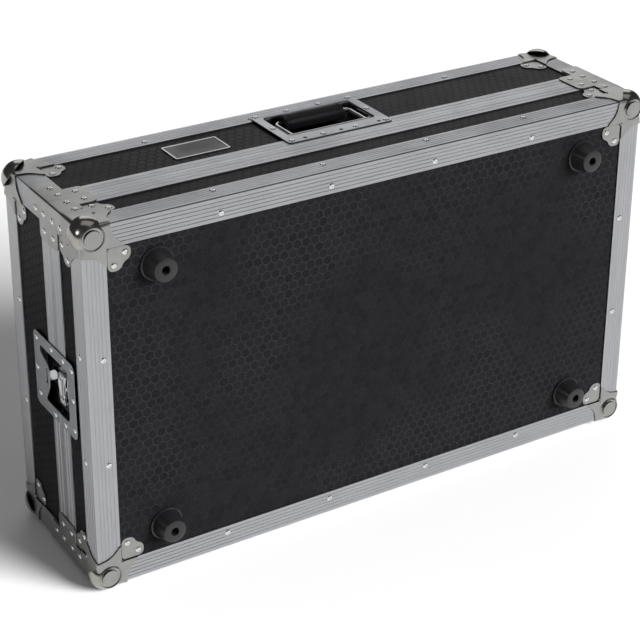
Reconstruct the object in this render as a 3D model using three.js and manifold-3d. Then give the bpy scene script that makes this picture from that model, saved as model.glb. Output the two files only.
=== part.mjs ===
// Flight case for a keyboard controller, in millimetres, +Z up, standing on one long side.
// A base half (-Y) and a lift-off lid half (+Y) meet at a tongue-and-groove rim. Both are plywood boxes
// edged with grooved aluminium angle, with pressed ball corners, bent braces at the parting line,
// two recessed twist latches on the short sides and a swinging handle in the long upper side.
import * as THREE from 'three';
import { mergeVertices } from 'three/addons/utils/BufferGeometryUtils.js';
import Module from 'manifold-3d';

const wasm = await Module();
wasm.setup();

// Overall size of the closed case, over the faces of its aluminium angles
const caseLength = 800;
const caseDepth = 214;
const caseHeight = 477;
const baseDepth = 85.25;

// Stock
const gap = 0.3;
const ply = 7;
const sheet = 1.5;
const leg = 30;
const fitting = 1.2;
const overrun = 20;
const cornerSteps = 5;

// Grooves and rounding of the aluminium angles
const grooveCount = 5;
const grooveWidth = 1.1;
const grooveDepth = 0.35;
const angleRounding = 1.2;

// Tongue-and-groove rim
const rimBand = 24;
const rimReturn = 13;
const tongueHeight = 6;

// Ball corners
const ballRadius = 22;
const ballCentre = 14;
const ballProud = 4;
const ballCrown = 7;
const roundingCentre = 34;
const cornerReach = 36;
const cornerInnerReach = 52;
const cornerStep = 1.6;
const tabLobeRadius = 7.4;
const tabRivetFar = 53;
const tabRivetNear = 39.4;
const ballSides = 16;
const roundingSides = 20;
const tabNotchShare = 0.1;

// Chamfers that keep the plywood inside the ball corners
const panelChamfer = 16;
const wallChamferAcross = 8;
const wallChamferDown = 9;

// Braces at the parting line
const braceWidth = 28;
const braceArm = 52;
const baseBraceTail = 12.7;
const lidBraceTail = 24.5;
const braceRounding = 7;

// Rubber feet on the large base face
const footSpacingX = 614;
const footFromEdge = 63.5;
const footHeight = 23.5;
const footBaseRadius = 20;
const footFaceRadius = 15;
const footFlange = 2.5;
const footFlangeRadius = 21.5;
const footHoleRadius = 5;
const footHoleDepth = 12;
const footRounding = 2;
const footSides = 18;

// Recessed handle in the upper side of the lid
const handleBorderEnd = 14;
const handleLapOnRim = 14.2;
const handleBorderFar = 17;
const handlePocketLength = 124;
const handlePocketWidth = 64;
const handlePocketDepth = 18;
const handlePlateRounding = 4;
const handlePocketRounding = 3;
const bailWire = 7;
const bailFromEnd = 8;
const bailAxisFromNear = 6.5;
const bailAxisDepth = 4.5;
const bailBend = 9;
const bailSides = 10;
const bailSteps = 36;
const gripRadius = 11.5;
const gripFromSide = 1;
const gripFromBend = 1;
const gripRounding = 3;
const gripSides = 24;

// Bare name plate beside the handle
const badgeLength = 75;
const badgeWidth = 42;
const badgeThickness = 1;
const badgeRounding = 3;
const badgeFromCentre = 178;
const badgeFromFace = 67.5;
const badgeStep = 2;

// Recessed twist latches, centred in the short sides
const latchBorderEnd = 15.5;
const latchBorderNear = 19;
const latchBorderFar = 14;
const latchPocketHeight = 70;
const latchPocketInBase = 29.25;
const latchPocketInLid = 52.75;
const latchRounding = 8;
const latchPivotToParting = 5.75;
const catchInLid = 25.75;
const catchHeight = 24;
const catchSlotWidth = 20;
const catchSlotLength = 6;
const catchSlotFromEdge = 4;
const catchSlotRounding = 1.5;
const rotorRadius = 19;
const rotorThickness = 2.2;
const rotorStubRadius = 5;
const rotorSides = 32;
const wingSpan = 42;
const wingWidth = 17;
const wingThickness = 2.6;
const wingWaistShare = 0.62;
const barrelSides = 12;
const lugOffset = 10;
const lugThickness = 2.4;
const clawTravel = 10;
const clawWidth = 18;
const clawThickness = 2;
const clawOverFloor = 0.75;
const clawTailLength = 20;
const clawFingerLength = 4;
const clawFingerWidth = 14;

// Foam lining
const foamClear = 3;
const baseFoamFloor = 22;
const baseFoamWall = 34;
const baseFoamBelowRim = 7;
const lidFoamThickness = 20;
const foamRounding = 12;
const foamSteps = 3;

// Worked out from the sizes above
const inset = sheet + gap;
const plateOuter = -(gap + fitting);
const lidDepth = caseDepth - baseDepth;
const halfLength = caseLength / 2;
const midHeight = caseHeight / 2;
const pastPly = inset + ply + gap;
const pastLeg = leg + gap;
const tongueOuter = pastPly + sheet + gap / 2;
const tongueInner = tongueOuter + sheet;
const roundingRadius = (roundingCentre - plateOuter) * Math.SQRT2;
const handleKeptOff = Math.max(leg + 2 * gap, pastPly + lidFoamThickness + 2 * gap);
const handlePocketFar = caseDepth - handleKeptOff - fitting;
const handlePocketNear = handlePocketFar - handlePocketWidth;
const bailReach = handlePocketWidth - bailAxisFromNear - gripRadius - gripFromSide;
const bailWidth = handlePocketLength - 2 * bailFromEnd;
const gripLength = bailWidth - 2 * (bailBend + gripFromBend);
const latchPocketNear = baseDepth - latchPocketInBase;
const latchPocketFar = baseDepth + latchPocketInLid;
const latchPocketDepth = tongueOuter - gap - fitting;
const clawBottom = latchPocketDepth - clawOverFloor;
const clawTop = clawBottom - clawThickness;
const rotorLevel = clawTop - gap - rotorThickness;
const catchEdge = baseDepth + catchInLid;

const finish = {
  aluminium: { color: 0xb4b6bb, roughness: 0.42, metalness: 0.9 },
  nickel: { color: 0xbfbfba, roughness: 0.24, metalness: 1 },
  chrome: { color: 0xd2d3d6, roughness: 0.12, metalness: 1 },
  laminate: { color: 0x2a2a2d, roughness: 0.55, metalness: 0 },
  rubber: { color: 0x161617, roughness: 0.7, metalness: 0 },
  foam: { color: 0x2b2c2f, roughness: 0.95, metalness: 0 },
};

// Each half is made face down; the lid is then turned onto the base, which swaps its sides.
const halfSides = {
  base: [['left', -1], ['right', 1]],
  lid: [['left', 1], ['right', -1]],
};
const levels = [['bottom', -1], ['top', 1]];

const xAxis = new THREE.Vector3(1, 0, 0);
const yAxis = new THREE.Vector3(0, 1, 0);
const zAxis = new THREE.Vector3(0, 0, 1);

// Keeps positions only and merges shared vertices.
function bare(geometry) {
  geometry.deleteAttribute('normal');
  geometry.deleteAttribute('uv');
  return mergeVertices(geometry);
}

// Puts a geometry's own axes along three given directions; a mirrored result has its faces turned back.
function placed(geometry, alongX, alongY, alongZ, origin) {
  const merged = bare(geometry);
  const matrix = new THREE.Matrix4().makeBasis(alongX, alongY, alongZ).setPosition(origin);
  merged.applyMatrix4(matrix);
  if (matrix.determinant() < 0) {
    const index = merged.getIndex();
    for (let i = 0; i < index.count; i += 3) {
      const first = index.getX(i);
      index.setX(i, index.getX(i + 2));
      index.setX(i + 2, first);
    }
  }
  return merged;
}

function toSolid(geometry) {
  const merged = bare(geometry);
  return new wasm.Manifold(new wasm.Mesh({
    numProp: 3,
    vertProperties: Float32Array.from(merged.getAttribute('position').array),
    triVerts: Uint32Array.from(merged.getIndex().array),
  }));
}

function toGeometry(solid) {
  const mesh = solid.getMesh();
  const geometry = new THREE.BufferGeometry();
  geometry.setAttribute('position', new THREE.BufferAttribute(Float32Array.from(mesh.vertProperties), 3));
  geometry.setIndex(new THREE.BufferAttribute(Uint32Array.from(mesh.triVerts), 1));
  return geometry;
}

function slab(x0, x1, y0, y1, z0, z1) {
  const geometry = new THREE.BoxGeometry(x1 - x0, y1 - y0, z1 - z0);
  return geometry.translate((x0 + x1) / 2, (y0 + y1) / 2, (z0 + z1) / 2);
}

function cylinder(radius, length, sides) {
  return new THREE.CylinderGeometry(radius, radius, length, sides);
}

// A flat outline of [a, b] pairs made into a plate from level c0 to level c1.
function plate(points, c0, c1) {
  const shape = new THREE.Shape(points.map(([a, b]) => new THREE.Vector2(a, b)));
  const geometry = new THREE.ExtrudeGeometry(shape, { depth: c1 - c0, bevelEnabled: false });
  return geometry.translate(0, 0, c0);
}

// Points of an arc about a centre, angles in turns.
function arc(a, b, radius, from, to, steps) {
  const points = [];
  for (let i = 0; i <= steps; i += 1) {
    const angle = 2 * Math.PI * (from + (to - from) * (i / steps));
    points.push([a + radius * Math.cos(angle), b + radius * Math.sin(angle)]);
  }
  return points;
}

// A rectangle with its corners rounded; a radius of zero leaves a corner square.
function roundedRectangle(a0, a1, b0, b1, radii, steps = cornerSteps) {
  const [lowLow, highLow, highHigh, lowHigh] = radii;
  const corner = (a, b, radius, from) => {
    if (radius === 0) {
      return [[a, b]];
    }
    return arc(a, b, radius, from, from + 1 / 4, steps);
  };
  return [
    ...corner(a0 + lowLow, b0 + lowLow, lowLow, 1 / 2),
    ...corner(a1 - highLow, b0 + highLow, highLow, 3 / 4),
    ...corner(a1 - highHigh, b1 - highHigh, highHigh, 0),
    ...corner(a0 + lowHigh, b1 - lowHigh, lowHigh, 1 / 4),
  ];
}

// V grooves spread evenly over a flat face, as [along, depth] pairs between its two ends.
function grooves(from, to, count) {
  const points = [];
  const pitch = (to - from) / (count + 1);
  const side = Math.sign(to - from) * grooveWidth / 2;
  for (let i = 1; i <= count; i += 1) {
    const centre = from + pitch * i;
    points.push([centre - side, 0], [centre, grooveDepth], [centre + side, 0]);
  }
  return points;
}

// Section of the aluminium angle: [from the side face, from the large face].
function angleSection() {
  return [
    [angleRounding, 0],
    ...grooves(angleRounding, leg, grooveCount),
    [leg, 0],
    [leg, sheet],
    [sheet, sheet],
    [sheet, leg],
    [0, leg],
    ...grooves(leg, angleRounding, grooveCount).map(([along, depth]) => [depth, along]),
    [0, angleRounding],
  ];
}

// An angle bar of a given length, its outer corner on a line through origin along the bar.
function angleBar(length, intoSide, intoFace, along, origin) {
  return placed(plate(angleSection(), 0, length), intoSide, intoFace, along, origin);
}

// A mitred frame of one section of [inward, depth] pairs, run round the four sides of the case.
function ringFrame(section) {
  const positions = [];
  const indices = [];
  const count = section.length;
  const corners = [[-1, -1], [1, -1], [1, 1], [-1, 1]];
  for (const [sideX, sideZ] of corners) {
    for (const [inward, depth] of section) {
      positions.push(sideX * (halfLength - inward), depth, midHeight + sideZ * (midHeight - inward));
    }
  }
  for (let c = 0; c < corners.length; c += 1) {
    const here = c * count;
    const there = ((c + 1) % corners.length) * count;
    for (let i = 0; i < count; i += 1) {
      const j = (i + 1) % count;
      indices.push(here + i, there + j, there + i, here + i, here + j, there + j);
    }
  }
  const geometry = new THREE.BufferGeometry();
  geometry.setAttribute('position', new THREE.Float32BufferAttribute(positions, 3));
  geometry.setIndex(indices);
  return geometry;
}

// Base rim: channel round the wall's end, with the tongue standing on its inner lip.
function baseRimSection() {
  const end = baseDepth - gap / 2;
  const start = end - rimBand;
  return [
    [0, start],
    ...grooves(start, end, 2).map(([along, depth]) => [depth, along]),
    [0, end],
    [tongueOuter, end],
    [tongueOuter, end + tongueHeight],
    [tongueInner, end + tongueHeight],
    [tongueInner, end - sheet],
    [pastPly + sheet, end - sheet],
    [pastPly + sheet, end - rimReturn],
    [pastPly, end - rimReturn],
    [pastPly, end - sheet],
    [sheet, end - sheet],
    [sheet, start],
  ];
}

// Lid rim, measured from the lid's face: channel round the wall's end, with the groove beside it.
function lidRimSection() {
  const end = lidDepth - gap / 2;
  const start = end - rimBand;
  const floor = end - tongueHeight - gap;
  const grooveOuter = tongueOuter - gap;
  const grooveInner = tongueInner + gap;
  return [
    [0, start],
    ...grooves(start, end, 2).map(([along, depth]) => [depth, along]),
    [0, end],
    [grooveOuter, end],
    [grooveOuter, floor],
    [grooveInner, floor],
    [grooveInner, end],
    [grooveInner + sheet, end],
    [grooveInner + sheet, floor - sheet],
    [grooveOuter, floor - sheet],
    [grooveOuter, floor - rimReturn],
    [pastPly, floor - rimReturn],
    [pastPly, end - sheet],
    [sheet, end - sheet],
    [sheet, start],
  ];
}

function panelOutline() {
  const a = halfLength - inset;
  const b = midHeight - inset;
  const c = panelChamfer;
  return [
    [-a + c, -b], [a - c, -b], [a, -b + c], [a, b - c],
    [a - c, b], [-a + c, b], [-a, b - c], [-a, -b + c],
  ];
}

// Outline of a wall: [along the wall, from the large face].
function wallOutline(half, end) {
  const across = wallChamferAcross;
  const down = wallChamferDown;
  return [
    [-half, end], [-half, pastPly + down], [-half + across, pastPly],
    [half - across, pastPly], [half, pastPly + down], [half, end],
  ];
}

function facePanel() {
  const board = plate(panelOutline(), inset, inset + ply);
  return placed(board, xAxis, zAxis, yAxis, new THREE.Vector3(0, 0, midHeight));
}

// Upper and lower walls run the full length; sideZ is 1 for the upper one.
function longWall(sideZ, end) {
  const outer = midHeight + sideZ * (midHeight - inset);
  const inwards = zAxis.clone().multiplyScalar(-sideZ);
  const outline = wallOutline(halfLength - inset, end);
  return placed(plate(outline, 0, ply), xAxis, yAxis, inwards, new THREE.Vector3(0, 0, outer));
}

// Short walls stand between the long ones; sideX is 1 for +X.
function shortWall(sideX, end) {
  const outer = sideX * (halfLength - inset);
  const inwards = xAxis.clone().multiplyScalar(-sideX);
  const outline = wallOutline(midHeight - pastPly, end);
  return placed(plate(outline, 0, ply), zAxis, yAxis, inwards, new THREE.Vector3(outer, 0, midHeight));
}

// The four angle bars round the large face of a half, square cut clear of its corners.
function edgeBars(half) {
  const lengthX = caseLength - 2 * pastLeg;
  const lengthZ = caseHeight - 2 * pastLeg;
  const bars = {};
  for (const [level, sideZ] of levels) {
    const start = new THREE.Vector3(pastLeg - halfLength, 0, midHeight + sideZ * midHeight);
    const inwards = zAxis.clone().multiplyScalar(-sideZ);
    bars[`${half}_edge_${level}`] = angleBar(lengthX, inwards, yAxis, xAxis, start);
  }
  for (const [side, sideX] of halfSides[half]) {
    const start = new THREE.Vector3(sideX * halfLength, 0, pastLeg);
    const inwards = xAxis.clone().multiplyScalar(-sideX);
    bars[`${half}_edge_${side}`] = angleBar(lengthZ, inwards, yAxis, zAxis, start);
  }
  return bars;
}

// One face of a ball corner over the angle's leg, with the deeper tab on the panel beside it.
// Along its second axis it reaches reachB at the case's edge and innerB at the leg's.
function cornerPlate(reachB, innerB) {
  const lobeEdge = (tabRivetFar + tabRivetNear) / 2 + tabLobeRadius * Math.SQRT1_2;
  const tabNotch = lobeEdge - tabLobeRadius * tabNotchShare;
  const reach = cornerReach;
  const inner = cornerInnerReach;
  const step = pastLeg + cornerStep;
  const shoulderShares = [[0.35, 0.14], [0.72, 0.52]];
  const curve = (from, to) => {
    return shoulderShares.map(([across, out]) => [across * leg, from + out * (to - from)]);
  };
  const over = [
    [plateOuter, plateOuter],
    [reach, plateOuter],
    ...curve(reach, inner).map(([across, along]) => [along, across]),
    [inner, leg],
    [inner, step],
    [step, step],
    [step, inner],
    [leg, innerB],
    ...curve(reachB, innerB).reverse(),
    [plateOuter, reachB],
  ];
  const riser = [
    [pastLeg, pastLeg], [inner, pastLeg], [inner, step], [step, step], [step, inner], [pastLeg, inner],
  ];
  const tab = [
    [pastLeg, pastLeg],
    ...arc(tabRivetFar, tabRivetNear, tabLobeRadius, -1 / 4, 1 / 8, 4),
    [tabNotch, tabNotch],
    ...arc(tabRivetNear, tabRivetFar, tabLobeRadius, 1 / 8, 1 / 2, 4),
  ];
  const onLegs = toSolid(plate(over, plateOuter, sheet));
  const onStep = toSolid(plate(riser, plateOuter, sheet));
  const onPanel = toSolid(plate(tab, gap, sheet));
  return onLegs.add(onStep).add(onPanel);
}

// Ball with a flat on each of its three outer sides, the large one on the case's large face.
function ballBody() {
  const sphere = new THREE.SphereGeometry(ballRadius, ballSides, ballSides / 2);
  const body = toSolid(sphere.translate(ballCentre, ballCentre, ballCentre));
  const far = ballCentre + ballRadius + overrun;
  return body.intersect(toSolid(slab(-ballCrown, far, -ballProud, far, -ballCrown, far)));
}

// The tip of the octant in front of the plane x + y + z = level.
function octantTip(level) {
  const low = -overrun;
  const high = level - 2 * low;
  const geometry = new THREE.BufferGeometry();
  const corners = [low, low, low, high, low, low, low, high, low, low, low, high];
  geometry.setAttribute('position', new THREE.Float32BufferAttribute(corners, 3));
  geometry.setIndex([0, 2, 1, 0, 1, 3, 0, 3, 2, 1, 2, 3]);
  return geometry;
}

// The space that plywood, angle bars and posts need inside a ball corner.
function cornerCore() {
  const far = tabRivetFar + tabLobeRadius + overrun;
  const inner = inset - gap;
  const woodTip = Math.min(panelChamfer + inset, Math.min(wallChamferAcross, wallChamferDown) + pastPly);
  let core = toSolid(slab(inner, far, inner, far, inner, far));
  core = core.subtract(toSolid(octantTip(2 * inset + woodTip - gap * Math.sqrt(3))));
  const low = -gap;
  const wide = pastLeg;
  core = core.add(toSolid(slab(leg, far, low, wide, low, inner)));
  core = core.add(toSolid(slab(leg, far, low, inner, low, wide)));
  core = core.add(toSolid(slab(low, wide, leg, far, low, inner)));
  core = core.add(toSolid(slab(low, inner, leg, far, low, wide)));
  core = core.add(toSolid(slab(low, wide, low, inner, leg, far)));
  return core.add(toSolid(slab(low, inner, low, wide, leg, far)));
}

// Whole ball corner with its apex at the origin, reaching along +X, +Y and +Z.
function ballCorner(reachY, innerY) {
  const small = toGeometry(cornerPlate(cornerReach, cornerInnerReach));
  const long = toGeometry(cornerPlate(reachY, innerY));
  const origin = new THREE.Vector3();
  const onXY = toSolid(placed(long.clone(), xAxis, yAxis, zAxis, origin));
  const onXZ = toSolid(placed(small, xAxis, zAxis, yAxis, origin));
  const onZY = toSolid(placed(long.clone(), zAxis, yAxis, xAxis, origin));
  const rounding = new THREE.SphereGeometry(roundingRadius, roundingSides, roundingSides / 2);
  const near = slab(plateOuter, roundingCentre, plateOuter, roundingCentre, plateOuter, roundingCentre);
  const roundingBall = toSolid(rounding.translate(roundingCentre, roundingCentre, roundingCentre));
  const trimmed = toSolid(near).subtract(roundingBall);
  const shell = onXY.add(onXZ).add(onZY).subtract(trimmed);
  return toGeometry(shell.add(ballBody()).subtract(cornerCore()));
}

// Bent brace at the parting line: [from the edge, from the large face], on two adjoining sides.
function brace(end, tail) {
  const start = end - rimBand - tail;
  const shoulder = end - rimBand;
  const outline = [
    [plateOuter, start],
    ...arc(braceWidth - braceRounding, start + braceRounding, braceRounding, 3 / 4, 1, 4),
    [braceWidth, shoulder],
    ...arc(braceArm - braceRounding, shoulder + braceRounding, braceRounding, 3 / 4, 1, 4),
    [braceArm, end],
    [plateOuter, end],
  ];
  const flat = plate(outline, plateOuter, -gap);
  const origin = new THREE.Vector3();
  const onXY = toSolid(placed(flat.clone(), xAxis, yAxis, zAxis, origin));
  const onZY = toSolid(placed(flat.clone(), zAxis, yAxis, xAxis, origin));
  return toGeometry(onXY.add(onZY));
}

// Copies of a piece made at an apex, put at the four corners of a half.
function atCorners(geometry, half, name) {
  const pieces = {};
  for (const [side, sideX] of halfSides[half]) {
    for (const [level, sideZ] of levels) {
      const apex = new THREE.Vector3(sideX * halfLength, 0, midHeight + sideZ * midHeight);
      const inX = xAxis.clone().multiplyScalar(-sideX);
      const inZ = zAxis.clone().multiplyScalar(-sideZ);
      pieces[`${half}_${name}_${level}_${side}`] = placed(geometry.clone(), inX, yAxis, inZ, apex);
    }
  }
  return pieces;
}

// Corner posts of the lid, between ball corner and rim.
function cornerPosts(end) {
  const length = end - rimBand - gap - pastLeg;
  const section = plate(angleSection(), 0, length);
  const upright = placed(section, xAxis, zAxis, yAxis, new THREE.Vector3(0, pastLeg, 0));
  return atCorners(upright, 'lid', 'corner_post');
}

// Tapered rubber foot, from the panel outwards along -Y, with a blind screw hole in its face.
function foot(x, z) {
  const profile = [
    [0, 0],
    [footFlangeRadius, 0],
    [footFlangeRadius, footFlange],
    [footBaseRadius, footFlange],
    [footFaceRadius + footRounding / 2, footHeight - footRounding],
    [footFaceRadius, footHeight - footRounding / 2],
    [footFaceRadius - footRounding, footHeight],
    [footHoleRadius, footHeight],
    [footHoleRadius, footHeight - footHoleDepth],
    [0, footHeight - footHoleDepth],
  ];
  const lathe = new THREE.LatheGeometry(profile.map(([r, h]) => new THREE.Vector2(r, h)), footSides);
  const out = yAxis.clone().negate();
  return placed(lathe, xAxis, out, zAxis, new THREE.Vector3(x, inset - gap, z));
}

// Pressed dish for the handle, in the case frame: X along, Y from the base face, Z down from the top.
function handleDish() {
  const halfPocket = handlePocketLength / 2;
  const halfPlate = halfPocket + handleBorderEnd;
  const plateCorners = Array(4).fill(handlePlateRounding);
  const pocketCorners = Array(4).fill(handlePocketRounding);
  const shellCorners = Array(4).fill(handlePocketRounding + fitting);
  const near = handlePocketNear;
  const far = handlePocketFar;
  const onRim = baseDepth + gap / 2 + rimBand - handleLapOnRim;
  const flange = roundedRectangle(-halfPlate, halfPlate, onRim, far + handleBorderFar, plateCorners);
  const outer = roundedRectangle(
    -halfPocket - fitting, halfPocket + fitting, near - fitting, far + fitting, shellCorners,
  );
  const inner = roundedRectangle(-halfPocket, halfPocket, near, far, pocketCorners);
  const rim = toSolid(plate(flange, plateOuter, -gap));
  const shell = rim.add(toSolid(plate(outer, plateOuter, handlePocketDepth + fitting)));
  const dish = toGeometry(shell.subtract(toSolid(plate(inner, plateOuter - overrun, handlePocketDepth))));
  const down = zAxis.clone().negate();
  return placed(dish, xAxis, yAxis, down, new THREE.Vector3(0, 0, caseHeight));
}

// The lid's upper wall without the room for the dish; it is still face down, so Y runs from the lid's face.
function withoutHandle(geometry) {
  const half = handlePocketLength / 2 + fitting + gap;
  const near = caseDepth - handlePocketFar - fitting - gap;
  const far = caseDepth - handlePocketNear + fitting + gap;
  const room = slab(-half, half, near, far, caseHeight - leg, caseHeight + overrun);
  return toGeometry(toSolid(geometry).subtract(toSolid(room)));
}

const bailY = handlePocketNear + bailAxisFromNear;
const bailZ = caseHeight - bailAxisDepth;

// Wire bail: a hinge rod along X and a U that carries the grip.
function handleBail() {
  const radius = bailWire / 2;
  const rodLength = handlePocketLength - 2 * gap;
  const rod = toSolid(cylinder(radius, rodLength, bailSides).rotateZ(Math.PI / 2));
  const half = bailWidth / 2;
  const path = new THREE.CurvePath();
  const turn = half - bailBend;
  const straight = bailReach - bailBend;
  const spot = (x, y) => new THREE.Vector3(x, y, 0);
  const line = (from, to) => path.add(new THREE.LineCurve3(from, to));
  const bend = (from, by, to) => path.add(new THREE.QuadraticBezierCurve3(from, by, to));
  line(spot(-half, 0), spot(-half, straight));
  bend(spot(-half, straight), spot(-half, bailReach), spot(-turn, bailReach));
  line(spot(-turn, bailReach), spot(turn, bailReach));
  bend(spot(turn, bailReach), spot(half, bailReach), spot(half, straight));
  line(spot(half, straight), spot(half, 0));
  const round = arc(0, 0, radius, 0, 1 - 1 / bailSides, bailSides - 1);
  const section = new THREE.Shape(round.map(([a, b]) => new THREE.Vector2(a, b)));
  const along = { steps: bailSteps, extrudePath: path, bevelEnabled: false };
  const loop = toSolid(new THREE.ExtrudeGeometry(section, along));
  return placed(toGeometry(rod.add(loop)), xAxis, yAxis, zAxis, new THREE.Vector3(0, bailY, bailZ));
}

// Rubber sleeve round the bail.
function handleGrip() {
  const bore = bailWire / 2 + gap;
  const end = gripLength / 2;
  const soft = gripRounding;
  const profile = [
    [bore, -end], [gripRadius - soft, -end], [gripRadius, soft - end],
    [gripRadius, end - soft], [gripRadius - soft, end], [bore, end], [bore, -end],
  ];
  const lathe = new THREE.LatheGeometry(profile.map(([r, h]) => new THREE.Vector2(r, h)), gripSides);
  return placed(lathe, yAxis, xAxis, zAxis, new THREE.Vector3(0, bailY + bailReach, bailZ));
}

// Bare plate with a raised field, on the upper wall of the lid.
function badgePlate() {
  const halfLong = badgeLength / 2;
  const halfWide = badgeWidth / 2;
  const corners = Array(4).fill(badgeRounding);
  const inner = Array(4).fill(badgeRounding - badgeStep / 2);
  const rim = roundedRectangle(-halfLong, halfLong, -halfWide, halfWide, corners);
  const field = roundedRectangle(
    badgeStep - halfLong, halfLong - badgeStep, badgeStep - halfWide, halfWide - badgeStep, inner,
  );
  const raised = badgeThickness / 2;
  const body = toSolid(plate(rim, 0, raised)).add(toSolid(plate(field, 0, badgeThickness)));
  const origin = new THREE.Vector3(-badgeFromCentre, caseDepth - badgeFromFace, caseHeight - inset + gap);
  return placed(toGeometry(body), xAxis, yAxis, zAxis, origin);
}

// The latch pieces are made as [from the base face, from mid height, inwards from the side].
const pivotY = baseDepth - latchPivotToParting;
const partingNear = baseDepth - gap / 2;
const partingFar = baseDepth + gap / 2;

function latchShell(flange, pocket, opening) {
  const rim = toSolid(plate(flange, plateOuter, -gap));
  const [outer, inner] = pocket;
  const tub = toSolid(plate(outer, -gap, latchPocketDepth + fitting));
  const space = toSolid(plate(inner, -gap, latchPocketDepth));
  const hole = toSolid(plate(opening, plateOuter - overrun, -gap + fitting / 2));
  return rim.add(tub).subtract(space).subtract(hole);
}

// Base half of the latch dish; its pocket is open at the parting line.
function latchDish() {
  const r = latchRounding;
  const half = latchPocketHeight / 2;
  const halfPlate = half + latchBorderEnd;
  const plateNear = latchPocketNear - latchBorderNear;
  const flange = roundedRectangle(plateNear, partingNear, -halfPlate, halfPlate, [r, 0, 0, r]);
  const outerCorners = [r + fitting, 0, 0, r + fitting];
  const outer = roundedRectangle(
    latchPocketNear - fitting, partingNear, -half - fitting, half + fitting, outerCorners,
  );
  const inner = roundedRectangle(latchPocketNear, partingNear + overrun, -half, half, [r, 0, 0, r]);
  return latchShell(flange, [outer, inner], inner);
}

// Lid half of the dish; its plate reaches over the pocket as the catch, with a slot for the finger.
function catchDish() {
  const r = latchRounding;
  const half = latchPocketHeight / 2;
  const halfPlate = half + latchBorderEnd;
  const plateFar = latchPocketFar + latchBorderFar;
  const flange = roundedRectangle(partingFar, plateFar, -halfPlate, halfPlate, [0, r, r, 0]);
  const outerCorners = [0, r + fitting, r + fitting, 0];
  const outer = roundedRectangle(
    partingFar, latchPocketFar + fitting, -half - fitting, half + fitting, outerCorners,
  );
  const inner = roundedRectangle(partingFar - overrun, latchPocketFar, -half, half, [0, r, r, 0]);
  const run = latchPocketFar - catchEdge;
  const halfCatch = catchHeight / 2;
  const openingShares = { upperLip: 0.9, upperNeck: 0.2, lowerNeck: 0.12, lowerLip: 0.5 };
  const opening = [
    [partingFar - overrun, -half],
    [catchEdge + run * openingShares.lowerLip, -half],
    [catchEdge + run * openingShares.lowerNeck, -halfCatch * 3 / 2],
    [catchEdge, -halfCatch],
    [catchEdge, halfCatch],
    [catchEdge + run * openingShares.upperNeck, halfCatch * 3 / 2],
    [catchEdge + run * openingShares.upperLip, half - r],
    [catchEdge + run * openingShares.upperLip, half],
    [partingFar - overrun, half],
  ];
  const shell = latchShell(flange, [outer, inner], opening);
  const slotNear = catchEdge + catchSlotFromEdge;
  const slotHalf = catchSlotWidth / 2;
  const slotCorners = Array(4).fill(catchSlotRounding);
  const slot = roundedRectangle(slotNear, slotNear + catchSlotLength, -slotHalf, slotHalf, slotCorners);
  return shell.subtract(toSolid(plate(slot, plateOuter - overrun, -gap + fitting / 2)));
}

const hingeLevel = rotorLevel - gap - wingThickness / 2;

// Turning disc with its pivot stub and the two lugs that hold the wing.
function latchRotor() {
  const disc = cylinder(rotorRadius, rotorThickness, rotorSides).rotateX(Math.PI / 2);
  const stubLength = latchPocketDepth - gap - rotorLevel;
  const stub = cylinder(rotorStubRadius, stubLength, rotorSides / 2).rotateX(Math.PI / 2);
  let body = toSolid(disc.translate(pivotY, 0, rotorLevel + rotorThickness / 2));
  body = body.add(toSolid(stub.translate(pivotY, 0, rotorLevel + stubLength / 2)));
  const hingeY = pivotY + wingWidth / 2;
  const reach = wingThickness / 2 + gap;
  for (const side of [-1, 1]) {
    const near = side * lugOffset - lugThickness / 2;
    const top = hingeLevel - wingThickness / 2;
    const root = rotorLevel + rotorThickness / 2;
    const lug = slab(hingeY - reach, hingeY + reach, near, near + lugThickness, top, root);
    body = body.add(toSolid(lug));
  }
  return body;
}

// Folding wing: a waisted plate hinged along one long edge between the rotor's lugs.
function latchWing() {
  const half = wingSpan / 2;
  const hingeY = pivotY + wingWidth / 2;
  const far = pivotY - wingWidth / 2;
  const waist = wingWidth * wingWaistShare / 2;
  const soft = wingWidth / 4;
  const outline = [
    [hingeY, -half + soft],
    [hingeY, half - soft],
    ...arc(hingeY - soft, half - soft, soft, 0, 1 / 4, 3),
    ...arc(far + soft, half - soft, soft, 1 / 4, 1 / 2, 3),
    [pivotY - waist, half / 2],
    [pivotY - waist, -half / 2],
    ...arc(far + soft, -half + soft, soft, 1 / 2, 3 / 4, 3),
    ...arc(hingeY - soft, -half + soft, soft, 3 / 4, 1, 3),
  ];
  const low = hingeLevel - wingThickness / 2;
  let body = toSolid(plate(outline, low, low + wingThickness));
  const radius = wingThickness / 2;
  const barrel = cylinder(radius, 2 * (half - soft), barrelSides);
  body = body.add(toSolid(barrel.translate(hingeY, 0, hingeLevel)));
  const reach = Math.hypot(radius, radius + gap) + gap;
  const beyond = low + wingThickness + overrun;
  for (const side of [-1, 1]) {
    const near = side * lugOffset - lugThickness / 2 - gap;
    const away = near + lugThickness + 2 * gap;
    const pocket = slab(hingeY - reach, hingeY + reach, near, away, low - overrun, beyond);
    body = body.subtract(toSolid(pocket));
  }
  return body;
}

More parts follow.
